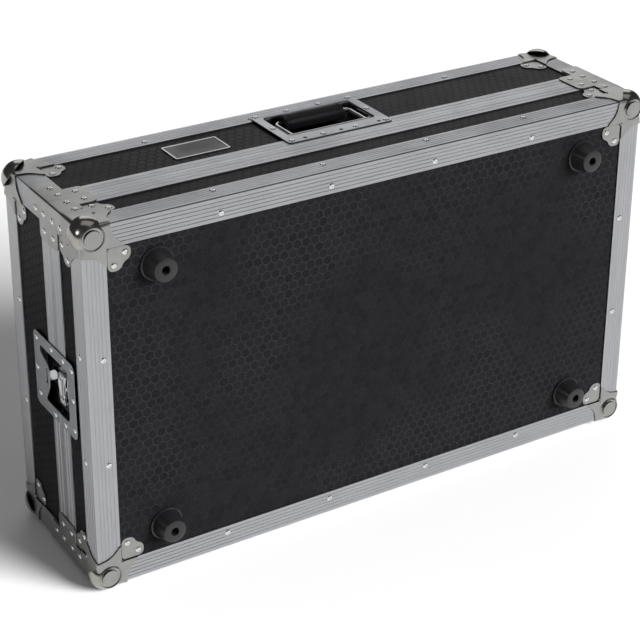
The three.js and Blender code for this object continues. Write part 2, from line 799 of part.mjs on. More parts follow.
// Sliding claw under the rotor, slotted round its stub, with the finger that reaches into the catch.
function latchClaw() {
  const half = clawWidth / 2;
  const slotHalf = rotorStubRadius + gap;
  const fingerNear = catchEdge + catchSlotFromEdge + (catchSlotLength - clawFingerLength) / 2;
  const fingerFar = fingerNear + clawFingerLength;
  const slotFar = pivotY + slotHalf;
  const slotNear = pivotY - slotHalf - clawTravel;
  let body = toSolid(slab(pivotY - clawTailLength, fingerFar, -half, half, clawTop, clawBottom));
  const slot = slab(slotNear, slotFar, -slotHalf, slotHalf, clawTop - overrun, clawBottom + overrun);
  body = body.subtract(toSolid(slot));
  const fingerHalf = clawFingerWidth / 2;
  const finger = slab(fingerNear, fingerFar, -fingerHalf, fingerHalf, 0, clawTop + clawThickness / 2);
  return body.add(toSolid(finger));
}

// Puts a latch piece on the side wall; sideX is 1 for +X.
function onSide(solid, sideX) {
  const inwards = xAxis.clone().multiplyScalar(-sideX);
  const origin = new THREE.Vector3(sideX * halfLength, 0, midHeight);
  return placed(toGeometry(solid), yAxis, zAxis, inwards, origin);
}

// What both latch pockets take out of walls and rims, down to the tongue.
function latchCutter(sideX, from, to) {
  const half = latchPocketHeight / 2 + fitting + gap;
  const ends = [sideX * (halfLength + overrun), sideX * (halfLength - tongueOuter)];
  const low = Math.min(...ends);
  const high = Math.max(...ends);
  return toSolid(slab(low, high, from, to, midHeight - half, midHeight + half));
}

function withoutLatches(geometry, near, far) {
  let body = toSolid(geometry);
  for (const sideX of [-1, 1]) {
    body = body.subtract(latchCutter(sideX, near, far));
  }
  return toGeometry(body);
}

function foamOutline(halfX, halfZ) {
  const corners = Array(4).fill(foamRounding);
  return roundedRectangle(-halfX, halfX, -halfZ, halfZ, corners, foamSteps);
}

// Tray of lining foam in the base, with the well that holds the instrument.
function baseFoam() {
  const halfX = halfLength - tongueInner - foamClear;
  const halfZ = midHeight - tongueInner - foamClear;
  const wellX = halfX - baseFoamWall;
  const wellZ = halfZ - baseFoamWall;
  const top = baseDepth - baseFoamBelowRim;
  const block = plate(foamOutline(halfX, halfZ), pastPly + gap, top);
  const well = plate(foamOutline(wellX, wellZ), pastPly + baseFoamFloor, top + overrun);
  const tray = toGeometry(toSolid(block).subtract(toSolid(well)));
  return placed(tray, xAxis, zAxis, yAxis, new THREE.Vector3(0, 0, midHeight));
}

// Flat pad of lining foam on the inside of the lid's face.
function lidFoam() {
  const halfX = halfLength - tongueInner - foamClear;
  const halfZ = midHeight - tongueInner - foamClear;
  const low = pastPly + gap;
  const pad = plate(foamOutline(halfX, halfZ), low, low + lidFoamThickness);
  return placed(pad, xAxis, zAxis, yAxis, new THREE.Vector3(0, 0, midHeight));
}

function mesh(name, geometry, look) {
  const flat = bare(geometry).toNonIndexed();
  flat.computeVertexNormals();
  const piece = new THREE.Mesh(flat, new THREE.MeshStandardMaterial(finish[look]));
  piece.name = name;
  return piece;
}

function addAll(group, pieces, look) {
  for (const [name, geometry] of Object.entries(pieces)) {
    group.add(mesh(name, geometry, look));
  }
}

// The four feet, with their screw holes outwards.
function feet() {
  const pieces = {};
  for (const [side, sideX] of halfSides.base) {
    for (const [level, sideZ] of levels) {
      const z = midHeight + sideZ * (midHeight - footFromEdge);
      pieces[`foot_${level}_${side}`] = foot(sideX * footSpacingX / 2, z);
    }
  }
  return pieces;
}

// Base half: large face at Y = 0.
function baseHalf() {
  const group = new THREE.Group();
  const end = baseDepth - gap / 2;
  const wallEnd = end - sheet - gap;
  const cutNear = latchPocketNear - fitting - gap;
  const beyond = baseDepth + overrun;
  addAll(group, {
    base_panel: facePanel(),
    base_wall_top: longWall(1, wallEnd),
    base_wall_bottom: longWall(-1, wallEnd),
    base_wall_left: withoutLatches(shortWall(-1, wallEnd), cutNear, beyond),
    base_wall_right: withoutLatches(shortWall(1, wallEnd), cutNear, beyond),
  }, 'laminate');
  addAll(group, edgeBars('base'), 'aluminium');
  addAll(group, { base_rim: withoutLatches(ringFrame(baseRimSection()), cutNear, beyond) }, 'aluminium');
  const ballEnd = end - rimBand - baseBraceTail - gap;
  addAll(group, atCorners(ballCorner(ballEnd, ballEnd), 'base', 'ball_corner'), 'nickel');
  addAll(group, atCorners(brace(end, baseBraceTail), 'base', 'brace'), 'nickel');
  addAll(group, feet(), 'rubber');
  addAll(group, { base_foam: baseFoam() }, 'foam');
  return group;
}

// Lid half, made face down at Y = 0 like the base, then turned half a turn about Z onto the rim.
function lidHalf() {
  const group = new THREE.Group();
  const end = lidDepth - gap / 2;
  const wallEnd = end - sheet - gap;
  const cutNear = caseDepth - latchPocketFar - fitting - gap;
  const beyond = lidDepth + overrun;
  group.rotation.z = Math.PI;
  group.position.y = caseDepth;
  addAll(group, {
    lid_panel: facePanel(),
    lid_wall_top: withoutHandle(longWall(1, wallEnd)),
    lid_wall_bottom: longWall(-1, wallEnd),
    lid_wall_left: withoutLatches(shortWall(1, wallEnd), cutNear, beyond),
    lid_wall_right: withoutLatches(shortWall(-1, wallEnd), cutNear, beyond),
  }, 'laminate');
  addAll(group, edgeBars('lid'), 'aluminium');
  addAll(group, { lid_rim: withoutLatches(ringFrame(lidRimSection()), cutNear, beyond) }, 'aluminium');
  addAll(group, cornerPosts(end), 'aluminium');
  const ball = ballCorner(cornerReach, cornerInnerReach);
  addAll(group, atCorners(ball, 'lid', 'ball_corner'), 'nickel');
  addAll(group, atCorners(brace(end, lidBraceTail), 'lid', 'brace'), 'nickel');
  addAll(group, { lid_foam: lidFoam() }, 'foam');
  return group;
}

function fittings() {
  const group = new THREE.Group();
  addAll(group, { handle_dish: handleDish(), badge_plate: badgePlate() }, 'nickel');
  addAll(group, { handle_bail: handleBail() }, 'chrome');
  addAll(group, { handle_grip: handleGrip() }, 'rubber');
  for (const [side, sideX] of [['left', -1], ['right', 1]]) {
    addAll(group, {
      [`latch_dish_${side}`]: onSide(latchDish(), sideX),
      [`latch_catch_${side}`]: onSide(catchDish(), sideX),
    }, 'nickel');
    addAll(group, {
      [`latch_rotor_${side}`]: onSide(latchRotor(), sideX),
      [`latch_wing_${side}`]: onSide(latchWing(), sideX),
      [`latch_claw_${side}`]: onSide(latchClaw(), sideX),
    }, 'chrome');
  }
  return group;
}

// The origin is the middle of the lowest face of the whole part's box.
const footProud = footHeight - inset + gap;
const flightCase = new THREE.Group();
flightCase.name = 'flight_case';
flightCase.position.set(0, (footProud - caseDepth - ballProud) / 2, ballCrown);
flightCase.add(baseHalf(), lidHalf(), fittings());

export default flightCase;
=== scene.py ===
"""Flight case for a keyboard controller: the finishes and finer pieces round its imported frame.

Sizes are in metres, in the frame's own axes. The case stands on its lower long side, its base half,
which carries the rubber feet, faces -Y, and its lift-off lid half faces +Y.
"""
import logging
import math
from collections.abc import Iterable, Sequence
from dataclasses import dataclass, field
from enum import Enum
from functools import cache

import bmesh
import bpy
from mathutils import Matrix, Vector


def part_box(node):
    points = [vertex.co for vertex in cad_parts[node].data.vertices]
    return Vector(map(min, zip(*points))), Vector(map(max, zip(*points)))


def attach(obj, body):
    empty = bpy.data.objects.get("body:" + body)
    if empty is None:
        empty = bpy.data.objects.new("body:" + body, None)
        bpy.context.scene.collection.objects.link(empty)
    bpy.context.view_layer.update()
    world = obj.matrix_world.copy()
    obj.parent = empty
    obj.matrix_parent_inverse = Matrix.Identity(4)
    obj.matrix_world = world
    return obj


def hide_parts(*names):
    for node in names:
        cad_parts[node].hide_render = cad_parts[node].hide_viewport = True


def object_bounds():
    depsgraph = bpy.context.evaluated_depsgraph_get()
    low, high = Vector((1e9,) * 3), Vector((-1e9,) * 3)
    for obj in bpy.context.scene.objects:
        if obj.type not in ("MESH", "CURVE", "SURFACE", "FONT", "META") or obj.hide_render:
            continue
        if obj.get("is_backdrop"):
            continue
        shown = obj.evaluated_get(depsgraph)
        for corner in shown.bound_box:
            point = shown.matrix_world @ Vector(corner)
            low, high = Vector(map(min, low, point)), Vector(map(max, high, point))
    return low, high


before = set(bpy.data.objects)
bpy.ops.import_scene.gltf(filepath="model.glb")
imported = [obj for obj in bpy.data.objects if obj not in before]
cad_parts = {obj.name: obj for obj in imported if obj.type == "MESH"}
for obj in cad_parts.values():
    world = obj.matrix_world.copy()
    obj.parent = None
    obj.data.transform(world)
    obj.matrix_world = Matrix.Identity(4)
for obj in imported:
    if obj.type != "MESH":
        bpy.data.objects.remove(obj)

LOG = logging.getLogger("flight_case")
MERGE = 1e-6
AXES = (Vector((1, 0, 0)), Vector((0, 1, 0)), Vector((0, 0, 1)))

Colour = tuple[float, float, float, float]
OutlineCorner = tuple[float, float, float]
Pair = tuple[float, float]
Spots = list[tuple[Vector, Vector]]
Shape = bmesh.types.BMesh
Face = bmesh.types.BMFace
Edge = bmesh.types.BMEdge
Vert = bmesh.types.BMVert
Socket = bpy.types.NodeSocket


class Named(Enum):
    """Options whose names are also parts of node and piece names."""

    @property
    def word(self) -> str:
        """The option's name in small letters."""
        return self.name.lower()


class Half(Named):
    """The two halves of the case, by the name of their body."""

    BASE = "base"
    LID = "lid"


class Side(Named):
    """The short sides, by the sign of X."""

    LEFT = -1
    RIGHT = 1


class Level(Named):
    """The long sides, by the sign of Z."""

    BOTTOM = -1
    TOP = 1


class Run(Named):
    """The way a metal section was drawn, as its axes with the drawn one first; a ROUND one has both ways."""

    X = "XYZ"
    Z = "ZXY"
    ROUND = ""


class Plane(Named):
    """The plane that a laminated board lies in, by its two axes; cells stand in rows along the first."""

    FACE = ("X", "Z")
    DECK = ("X", "Y")
    END = ("Z", "Y")


def basis(along_x: Vector, along_y: Vector, along_z: Vector, origin: Vector) -> Matrix:
    """Gives the matrix that puts a shape's own axes along three directions.

    Args:
        along_x: Where the shape's X axis goes.
        along_y: Where its Y axis goes.
        along_z: Where its Z axis goes.
        origin: Where its origin goes.

    Returns:
        The 4 by 4 matrix.
    """
    turned = Matrix((along_x, along_y, along_z)).transposed().to_4x4()
    return Matrix.Translation(origin) @ turned


@dataclass(frozen=True)
class CaseFrame:
    """The closed case's outer planes over its aluminium angles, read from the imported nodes."""

    low: Vector
    high: Vector
    parting: float

    @classmethod
    def read(cls) -> "CaseFrame":
        """Reads the planes from the edge angles and the braces."""
        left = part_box("base_edge_left")[0]
        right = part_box("base_edge_right")[1]
        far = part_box("lid_edge_left")[1]
        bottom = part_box("base_edge_bottom")[0]
        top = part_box("base_edge_top")[1]
        base_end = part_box("base_brace_top_left")[1].y
        lid_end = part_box("lid_brace_top_left")[0].y
        low = Vector((left.x, left.y, bottom.z)).freeze()
        high = Vector((right.x, far.y, top.z)).freeze()
        return cls(low, high, (base_end + lid_end) / 2)

    @property
    def middle(self) -> Vector:
        """The middle of the case."""
        return (self.low + self.high) / 2

    def face_y(self, half: Half) -> float:
        """The Y of a half's large face."""
        return self.low.y if half is Half.BASE else self.high.y

    def end_x(self, side: Side) -> float:
        """The X of a short side."""
        return self.low.x if side is Side.LEFT else self.high.x

    def edge_z(self, level: Level) -> float:
        """The Z of a long side."""
        return self.low.z if level is Level.BOTTOM else self.high.z

    def outward(self, half: Half) -> Vector:
        """The direction that a half's large face looks in."""
        return -AXES[1] if half is Half.BASE else AXES[1].copy()


@dataclass(frozen=True)
class Corner:
    """One outer corner of the case, measured inwards along X, Y and Z."""

    case: CaseFrame
    half: Half
    level: Level
    side: Side

    @property
    def name(self) -> str:
        """The end of the corner's node names."""
        return f"{self.level.word}_{self.side.word}"

    @property
    def matrix(self) -> Matrix:
        """Takes lengths measured inwards from the corner to the frame."""
        case = self.case
        origin = Vector((case.end_x(self.side), case.face_y(self.half), case.edge_z(self.level)))
        inwards = (AXES[0] * -self.side.value, -case.outward(self.half), AXES[2] * -self.level.value)
        return basis(*inwards, origin)

    def span_of(self, node: str) -> Pair:
        """Where a node starts and ends, measured inwards from the half's large face."""
        face = self.case.face_y(self.half)
        start, end = sorted(abs(point.y - face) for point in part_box(node))
        return start, end

    def spots_on(self, sheet: Matrix, places: Iterable[Pair], height: float) -> Spots:
        """Places on one sheet of a corner fitting, with the direction that the sheet looks in."""
        whole = self.matrix @ sheet
        outwards = whole.to_3x3() @ AXES[2]
        return [(whole @ Vector((a, b, height)), outwards) for a, b in places]


def corners(case: CaseFrame, half: Half) -> list[Corner]:
    """The four corners of one half."""
    return [Corner(case, half, level, side) for level in Level for side in Side]


# The three sheets of a corner fitting: each takes [a, b, height] to lengths inwards from the corner.
ON_LEVEL = basis(AXES[0], AXES[1], -AXES[2], Vector())
ON_SIDE = basis(AXES[2], AXES[1], -AXES[0], Vector())
ON_FACE = basis(AXES[0], AXES[2], -AXES[1], Vector())
CORNER_SHEETS = (ON_LEVEL, ON_SIDE, ON_FACE)


class Wiring:
    """Adds nodes to one node tree and joins their sockets."""

    def __init__(self, tree: bpy.types.NodeTree) -> None:
        """Works on the given tree."""
        self.tree = tree

    def feed(self, socket: Socket, value: object) -> None:
        """Links a socket to another one, or sets its own value."""
        if isinstance(value, Socket):
            self.tree.links.new(value, socket)
        else:
            socket.default_value = value

    def add(self, kind: str, feeds: dict | None = None, **settings: object) -> bpy.types.Node:
        """Adds a node.

        Args:
            kind: The node's type name.
            feeds: Values or sockets for its inputs, by name or index.
            **settings: Its other properties.

        Returns:
            The node.
        """
        node = self.tree.nodes.new(kind)
        for name, value in settings.items():
            setattr(node, name, value)
        for key, value in (feeds or {}).items():
            self.feed(node.inputs[key], value)
        return node

    def maths(self, operation: str, *values: object) -> Socket:
        """Adds a Math node over values or sockets."""
        return self.add("ShaderNodeMath", dict(enumerate(values)), operation=operation).outputs[0]

    def share(self, value: Socket, factor: object) -> Socket:
        """Takes a share of a value."""
        return self.maths("MULTIPLY", value, factor)

    def plus(self, value: object, layer: Socket, factor: float) -> Socket:
        """Adds a share of a layer to a value."""
        return self.maths("ADD", value, self.share(layer, factor))

    def vectors(self, operation: str, *values: object, output: str = "Vector") -> Socket:
        """Adds a Vector Math node over vectors or sockets."""
        node = self.add("ShaderNodeVectorMath", dict(enumerate(values)), operation=operation)
        return node.outputs[output]

    def scaled(self, vector: Socket, factor: object) -> Socket:
        """Scales a vector by one number."""
        feeds = {"Vector": vector, "Scale": factor}
        return self.add("ShaderNodeVectorMath", feeds, operation="SCALE").outputs["Vector"]

    def parts(self, vector: Socket) -> bpy.types.bpy_prop_collection:
        """Takes a vector apart into X, Y and Z."""
        return self.add("ShaderNodeSeparateXYZ", {0: vector}).outputs

    def ordered(self, parts: bpy.types.bpy_prop_collection, order: Sequence[str]) -> Socket:
        """Makes a vector of some parts of another one."""
        feeds = dict(zip("XYZ", (parts[axis] for axis in order)))
        return self.add("ShaderNodeCombineXYZ", feeds).outputs[0]

    def spread(self, value: object, ends: Pair, to_ends: Pair = (0.0, 1.0), smooth: bool = False) -> Socket:
        """Maps a value from one range to another, clamped."""
        feeds = {"Value": value, "From Min": ends[0], "From Max": ends[1],
                 "To Min": to_ends[0], "To Max": to_ends[1]}
        kind = "SMOOTHSTEP" if smooth else "LINEAR"
        return self.add("ShaderNodeMapRange", feeds, interpolation_type=kind).outputs["Result"]

    def tint(self, factor: object, low: object, high: object) -> Socket:
        """Mixes two colours."""
        node = self.add("ShaderNodeMix", data_type="RGBA")
        colours = [socket for socket in node.inputs if socket.type == "RGBA"]
        self.feed(node.inputs[0], factor)
        self.feed(colours[0], low)
        self.feed(colours[1], high)
        return next(socket for socket in node.outputs if socket.type == "RGBA")

    def noise(self, place: object, scale: float, detail: float = 2.0) -> Socket:
        """Adds a noise value over a place."""
        feeds = {"Vector": place, "Scale": scale, "Detail": detail}
        return self.add("ShaderNodeTexNoise", feeds).outputs[0]

    def effect(self, effect: object, place: Socket, **feeds: object) -> bpy.types.bpy_prop_collection:
        """Places an effect's node group over a place and gives its outputs."""
        feeds = {"Place": place} | feeds
        return self.add("ShaderNodeGroup", feeds, node_tree=built(effect)).outputs


FLOAT = "NodeSocketFloat"
VECTOR = "NodeSocketVector"
# The middle part of a noise, where most of its values lie.
NOISE_BAND = (0.35, 0.65)


@cache
def built(effect: object) -> bpy.types.NodeTree:
    """Builds an effect's node group once."""
    return effect.tree()


def new_group(name: str, inputs: dict, outputs: Sequence[str]) -> tuple[Wiring, dict, bpy.types.Node]:
    """Makes an empty shader node group.

    Args:
        name: The group's name.
        inputs: Socket types by input name.
        outputs: Names of its value outputs.

    Returns:
        Its wiring, its input sockets by name, and its output node.
    """
    tree = bpy.data.node_groups.new(name, "ShaderNodeTree")
    for socket, kind in inputs.items():
        tree.interface.new_socket(name=socket, in_out="INPUT", socket_type=kind)
    for socket in outputs:
        tree.interface.new_socket(name=socket, in_out="OUTPUT", socket_type=FLOAT)
    wiring = Wiring(tree)
    entry = wiring.add("NodeGroupInput")
    leave = wiring.add("NodeGroupOutput")
    return wiring, {socket: entry.outputs[socket] for socket in inputs}, leave


@dataclass(frozen=True)
class HexagonCells:
    """Embossed hexagons: which points lie on a cell rather than in a groove, and a tone for each cell.

    A cell's tone comes from its middle, snapped to a grid that is finer than the cells.
    """

    groove_shares: Pair = (0.3, 0.9)
    nudge: float = 0.1
    grid: float = 0.25

    def tree(self) -> bpy.types.NodeTree:
        """Builds the node group."""
        inputs = {"Place": VECTOR, "Pitch": FLOAT, "Groove": FLOAT}
        wires, given, leave = new_group("hexagon_cells", inputs, ("Cell", "Tone"))
        slope = math.sqrt(3) / 2
        half = (0.5, slope, 0.0)
        minus = (-0.5, -slope, 0.0)
        place = wires.scaled(given["Place"], wires.maths("DIVIDE", 1.0, given["Pitch"]))
        first = wires.vectors("WRAP", place, half, minus)
        second = wires.vectors("WRAP", wires.vectors("SUBTRACT", place, half), half, minus)
        first_far = wires.vectors("LENGTH", first, output="Value")
        second_far = wires.vectors("LENGTH", second, output="Value")
        nearer = wires.maths("LESS_THAN", first_far, second_far)
        step = wires.scaled(wires.vectors("SUBTRACT", first, second), nearer)
        offset = wires.vectors("ADD", second, step)
        span = wires.vectors("ABSOLUTE", offset)
        straight = wires.parts(span)["X"]
        slanted = wires.vectors("DOT_PRODUCT", span, half, output="Value")
        from_edge = wires.maths("SUBTRACT", 0.5, wires.maths("MAXIMUM", straight, slanted))
        distance = wires.share(from_edge, given["Pitch"])
        ends = tuple(wires.share(given["Groove"], factor) for factor in self.groove_shares)
        centre = wires.vectors("ADD", wires.vectors("SUBTRACT", place, offset), (self.nudge,) * 3)
        snapped = wires.vectors("SNAP", centre, (self.grid,) * 3)
        tone = wires.add("ShaderNodeTexWhiteNoise", {"Vector": snapped}).outputs["Value"]
        wires.feed(leave.inputs["Cell"], wires.spread(distance, ends, smooth=True))
        wires.feed(leave.inputs["Tone"], tone)
        return wires.tree


@dataclass(frozen=True)
class DrawnLines:
    """Fine lines along a drawn section, whose own X axis is the way it was drawn."""

    stretch: float = 0.012
    fine_scale: float = 2800.0
    wide_scale: float = 220.0
    fine_share: float = 0.6
    wide_share: float = 0.4

    def tree(self) -> bpy.types.NodeTree:
        """Builds the node group."""
        wires, given, leave = new_group("drawn_lines", {"Place": VECTOR}, ("Line", "Haze"))
        stretched = wires.vectors("MULTIPLY", given["Place"], (self.stretch, 1.0, 1.0))
        fine = wires.noise(stretched, self.fine_scale)
        wide = wires.noise(stretched, self.wide_scale)
        both = wires.plus(wires.share(fine, self.fine_share), wide, self.wide_share)
        wires.feed(leave.inputs["Line"], wires.spread(both, NOISE_BAND))
        wires.feed(leave.inputs["Haze"], wires.spread(wide, NOISE_BAND))
        return wires.tree


@dataclass(frozen=True)
class HandlingMarks:
    """What handling leaves: smudges, broken hair scratches and settled dust."""

    smudge_scale: float = 16.0
    smudge_band: Pair = (0.4, 0.68)
    bend_scale: float = 7.0
    bend: float = 0.05
    net_scale: float = 26.0
    scratch_width: float = 0.006
    break_scale: float = 45.0
    break_band: Pair = (0.58, 0.64)
    dust_scale: float = 1400.0
    dust_band: Pair = (0.66, 0.74)

    def tree(self) -> bpy.types.NodeTree:
        """Builds the node group."""
        wires, given, leave = new_group("handling_marks", {"Place": VECTOR}, ("Smudge", "Scratch", "Dust"))
        place = given["Place"]
        smudge = wires.noise(place, self.smudge_scale, 4.0)
        wander = wires.add("ShaderNodeTexNoise", {"Vector": place, "Scale": self.bend_scale})
        bent = wires.vectors("ADD", place, wires.scaled(wander.outputs["Color"], self.bend))
        feeds = {"Vector": bent, "Scale": self.net_scale}
        net = wires.add("ShaderNodeTexVoronoi", feeds, feature="DISTANCE_TO_EDGE").outputs["Distance"]
        line = wires.spread(net, (0.0, self.scratch_width), (1.0, 0.0))
        broken = wires.spread(wires.noise(place, self.break_scale), self.break_band)
        dust = wires.noise(place, self.dust_scale, 1.0)
        wires.feed(leave.inputs["Smudge"], wires.spread(smudge, self.smudge_band, smooth=True))
        wires.feed(leave.inputs["Scratch"], wires.share(line, broken))
        wires.feed(leave.inputs["Dust"], wires.spread(dust, self.dust_band))
        return wires.tree


def grey(value: float) -> Colour:
    """A neutral colour."""
    return (value, value, value, 1.0)


class Surface:
    """A material in the making: one Principled shader and its object coordinates."""

    def __init__(self, name: str) -> None:
        """Makes the material."""
        self.material = bpy.data.materials.new(name)
        self.material.use_nodes = True
        self.material.node_tree.nodes.clear()
        self.wires = Wiring(self.material.node_tree)
        self.shader = self.wires.add("ShaderNodeBsdfPrincipled")
        leave = self.wires.add("ShaderNodeOutputMaterial")
        self.wires.feed(leave.inputs["Surface"], self.shader.outputs["BSDF"])
        self.place = self.wires.add("ShaderNodeTexCoord").outputs["Object"]

    def marks(self) -> bpy.types.bpy_prop_collection:
        """Adds the marks of handling."""
        return self.wires.effect(HandlingMarks(), self.place)

    def emboss(self, height: Socket, depth: float, strength: float = 1.0) -> None:
        """Gives the surface a relief of a given depth."""
        feeds = {"Strength": strength, "Distance": depth, "Height": height}
        bump = self.wires.add("ShaderNodeBump", feeds)
        self.wires.feed(self.shader.inputs["Normal"], bump.outputs["Normal"])

    def feed(self, colour: Socket, roughness: object) -> None:
        """Gives the shader its colour and its roughness."""
        self.wires.feed(self.shader.inputs["Base Color"], colour)
        self.wires.feed(self.shader.inputs["Roughness"], roughness)


@dataclass(frozen=True)
class Laminate:
    """Black laminate with embossed hexagons over plywood, whose lines fade in places."""

    plane: Plane
    pitch: float = 0.0121
    groove: float = 0.0012
    relief: float = 0.00012
    cell: Colour = (0.0060, 0.0060, 0.0068, 1.0)
    trough: Colour = (0.0150, 0.0150, 0.0165, 1.0)
    tone_share: float = 0.25
    fade_scale: float = 5.0
    fade_band: Pair = (0.38, 0.62)
    faintest: float = 0.15
    cell_roughness: float = 0.30
    trough_roughness: float = 0.60
    smudge_share: float = 0.08
    dust_share: float = 0.10
    dust: Colour = grey(0.32)
    skin_scale: float = 2600.0
    skin_share: float = 0.25
    gloss: float = 0.03

    def material(self) -> bpy.types.Material:
        """Builds the material."""
        surface = Surface(f"laminate_{self.plane.word}")
        wires, place = surface.wires, surface.place
        flat = wires.ordered(wires.parts(place), self.plane.value)
        cells = wires.effect(HexagonCells(), flat, Pitch=self.pitch, Groove=self.groove)
        marks = surface.marks()
        toned = wires.tint(wires.share(cells["Tone"], self.tone_share), self.cell, self.trough)
        patches = wires.noise(place, self.fade_scale)
        fade = wires.spread(patches, self.fade_band, (self.faintest, 1.0), smooth=True)
        drawn = wires.share(wires.maths("SUBTRACT", 1.0, cells["Cell"]), fade)
        worn = wires.tint(drawn, toned, self.trough)
        dusted = wires.tint(wires.share(marks["Dust"], self.dust_share), worn, self.dust)
        rough = wires.spread(cells["Cell"], (0.0, 1.0), (self.trough_roughness, self.cell_roughness))
        surface.feed(dusted, wires.plus(rough, marks["Smudge"], self.smudge_share))
        skin = wires.noise(place, self.skin_scale)
        surface.emboss(wires.plus(cells["Cell"], skin, self.skin_share), self.relief)
        surface.shader.inputs["Specular IOR Level"].default_value = self.gloss
        return surface.material


@dataclass(frozen=True)
class Extrusion:
    """Mill-finish aluminium with lines along the way it was drawn."""

    run: Run
    case: CaseFrame
    bright: Colour = (0.47, 0.475, 0.49, 1.0)
    dull: Colour = (0.37, 0.375, 0.39, 1.0)
    bare: Colour = grey(0.45)
    scratch_share: float = 0.4
    roughness: Pair = (0.27, 0.36)
    smudge_share: float = 0.07
    relief: float = 0.00003

    def turned(self, wires: Wiring, place: Socket) -> Socket:
        """Turns object coordinates so that X runs the way the section was drawn."""
        parts = wires.parts(place)
        if self.run is not Run.ROUND:
            return wires.ordered(parts, self.run.value)
        middle, high = self.case.middle, self.case.high
        rise = wires.maths("ABSOLUTE", wires.maths("SUBTRACT", parts["Z"], middle.z))
        beyond_x = wires.maths("SUBTRACT", wires.maths("ABSOLUTE", parts["X"]), high.x)
        beyond_z = wires.maths("SUBTRACT", rise, high.z - middle.z)
        on_side = wires.maths("GREATER_THAN", beyond_x, beyond_z)
        along = wires.ordered(parts, Run.X.value)
        upright = wires.ordered(parts, Run.Z.value)
        return wires.vectors("ADD", along, wires.scaled(wires.vectors("SUBTRACT", upright, along), on_side))

    def material(self) -> bpy.types.Material:
        """Builds the material."""
        surface = Surface(f"aluminium_{self.run.word}")
        wires = surface.wires
        lines = wires.effect(DrawnLines(), self.turned(wires, surface.place))
        marks = surface.marks()
        metal = wires.tint(lines["Line"], self.dull, self.bright)
        scratched = wires.tint(wires.share(marks["Scratch"], self.scratch_share), metal, self.bare)
        rough = wires.spread(lines["Haze"], (0.0, 1.0), self.roughness)
        surface.feed(scratched, wires.plus(rough, marks["Smudge"], self.smudge_share))
        surface.emboss(lines["Line"], self.relief)
        surface.shader.inputs["Metallic"].default_value = 1.0
        return surface.material


@dataclass(frozen=True)
class Plated:
    """Pressed or turned steel under a plated skin."""

    name: str
    colour: Colour
    roughness: float
    haze: float = 0.06
    wave: float = 0.00003
    scratch: float = 0.3
    darker: float = 0.72
    cloud: float = 0.35
    press_scale: float = 60.0
    skin_scale: float = 420.0
    skin_share: float = 0.12

    def material(self) -> bpy.types.Material:
        """Builds the material."""
        surface = Surface(self.name)
        wires = surface.wires
        marks = surface.marks()
        skin = wires.noise(surface.place, self.skin_scale, 3.0)
        press = wires.noise(surface.place, self.press_scale)
        shade = (*(channel * self.darker for channel in self.colour[:3]), 1.0)
        plated = wires.tint(wires.spread(press, NOISE_BAND, (0.0, self.cloud)), self.colour, shade)
        scratched = wires.tint(wires.share(marks["Scratch"], self.scratch), plated, shade)
        hazed = wires.plus(wires.share(marks["Smudge"], self.haze), skin, self.haze)
        surface.feed(scratched, wires.maths("ADD", self.roughness, hazed))
        surface.emboss(wires.plus(press, skin, self.skin_share), self.wave)
        surface.shader.inputs["Metallic"].default_value = 1.0
        return surface.material


@dataclass(frozen=True)
class Moulded:
    """Moulded rubber or plastic with a fine skin and a little dust."""

    name: str
    colour: Colour
    roughness: float
    grain: float = 900.0
    relief: float = 0.00004
    dust_share: float = 0.10
    dust: Colour = grey(0.3)
    smudge_share: float = 0.15

    def material(self) -> bpy.types.Material:
        """Builds the material."""
        surface = Surface(self.name)
        wires = surface.wires
        marks = surface.marks()
        dusted = wires.tint(wires.share(marks["Dust"], self.dust_share), self.colour, self.dust)
        surface.feed(dusted, wires.plus(self.roughness, marks["Smudge"], self.smudge_share))
        surface.emboss(wires.noise(surface.place, self.grain, 3.0), self.relief)
        return surface.material


@dataclass(frozen=True)
class OpenCellFoam:
    """Charcoal lining foam with open cells."""

    colour: Colour = (0.030, 0.031, 0.034, 1.0)
    # Darker colour painted into the pores: painted shade in the recessed open cells.
    pore_shade: Colour = (0.008, 0.008, 0.009, 1.0)
    pore_shade_scale: float = 620.0
    pore_shade_band: Pair = (0.1, 0.6)
    lump_scale: float = 30.0
    lump_band: Pair = (0.3, 0.7)
    roughness: Pair = (0.88, 0.98)
    relief: float = 0.0006
    strength: float = 0.8
    sheen: float = 0.15

    def material(self) -> bpy.types.Material:
        """Builds the material."""
        surface = Surface("lining_foam_cells")
        wires = surface.wires
        pores = wires.add("ShaderNodeTexVoronoi", {"Vector": surface.place, "Scale": self.pore_shade_scale})
        open_cell = wires.spread(pores.outputs["Distance"], self.pore_shade_band)
        lumps = wires.noise(surface.place, self.lump_scale, 3.0)
        rough = wires.spread(lumps, self.lump_band, self.roughness)
        # The pores, which the bump below recesses, get the darker colour: painted shade.
        surface.feed(wires.tint(open_cell, self.pore_shade, self.colour), rough)
        surface.emboss(wires.maths("ADD", open_cell, lumps), self.relief, self.strength)
        surface.shader.inputs["Sheen Weight"].default_value = self.sheen
        return surface.material


@dataclass(frozen=True)
class StudioFloor:
    """Pale seamless floor."""

    colour: Colour = grey(0.90)
    cloud: Colour = grey(0.88)
    cloud_scale: float = 1.5
    roughness: float = 0.55

    def material(self) -> bpy.types.Material:
        """Builds the material."""
        surface = Surface("studio_floor")
        clouds = surface.wires.noise(surface.place, self.cloud_scale)
        surface.feed(surface.wires.tint(clouds, self.colour, self.cloud), self.roughness)
        return surface.material


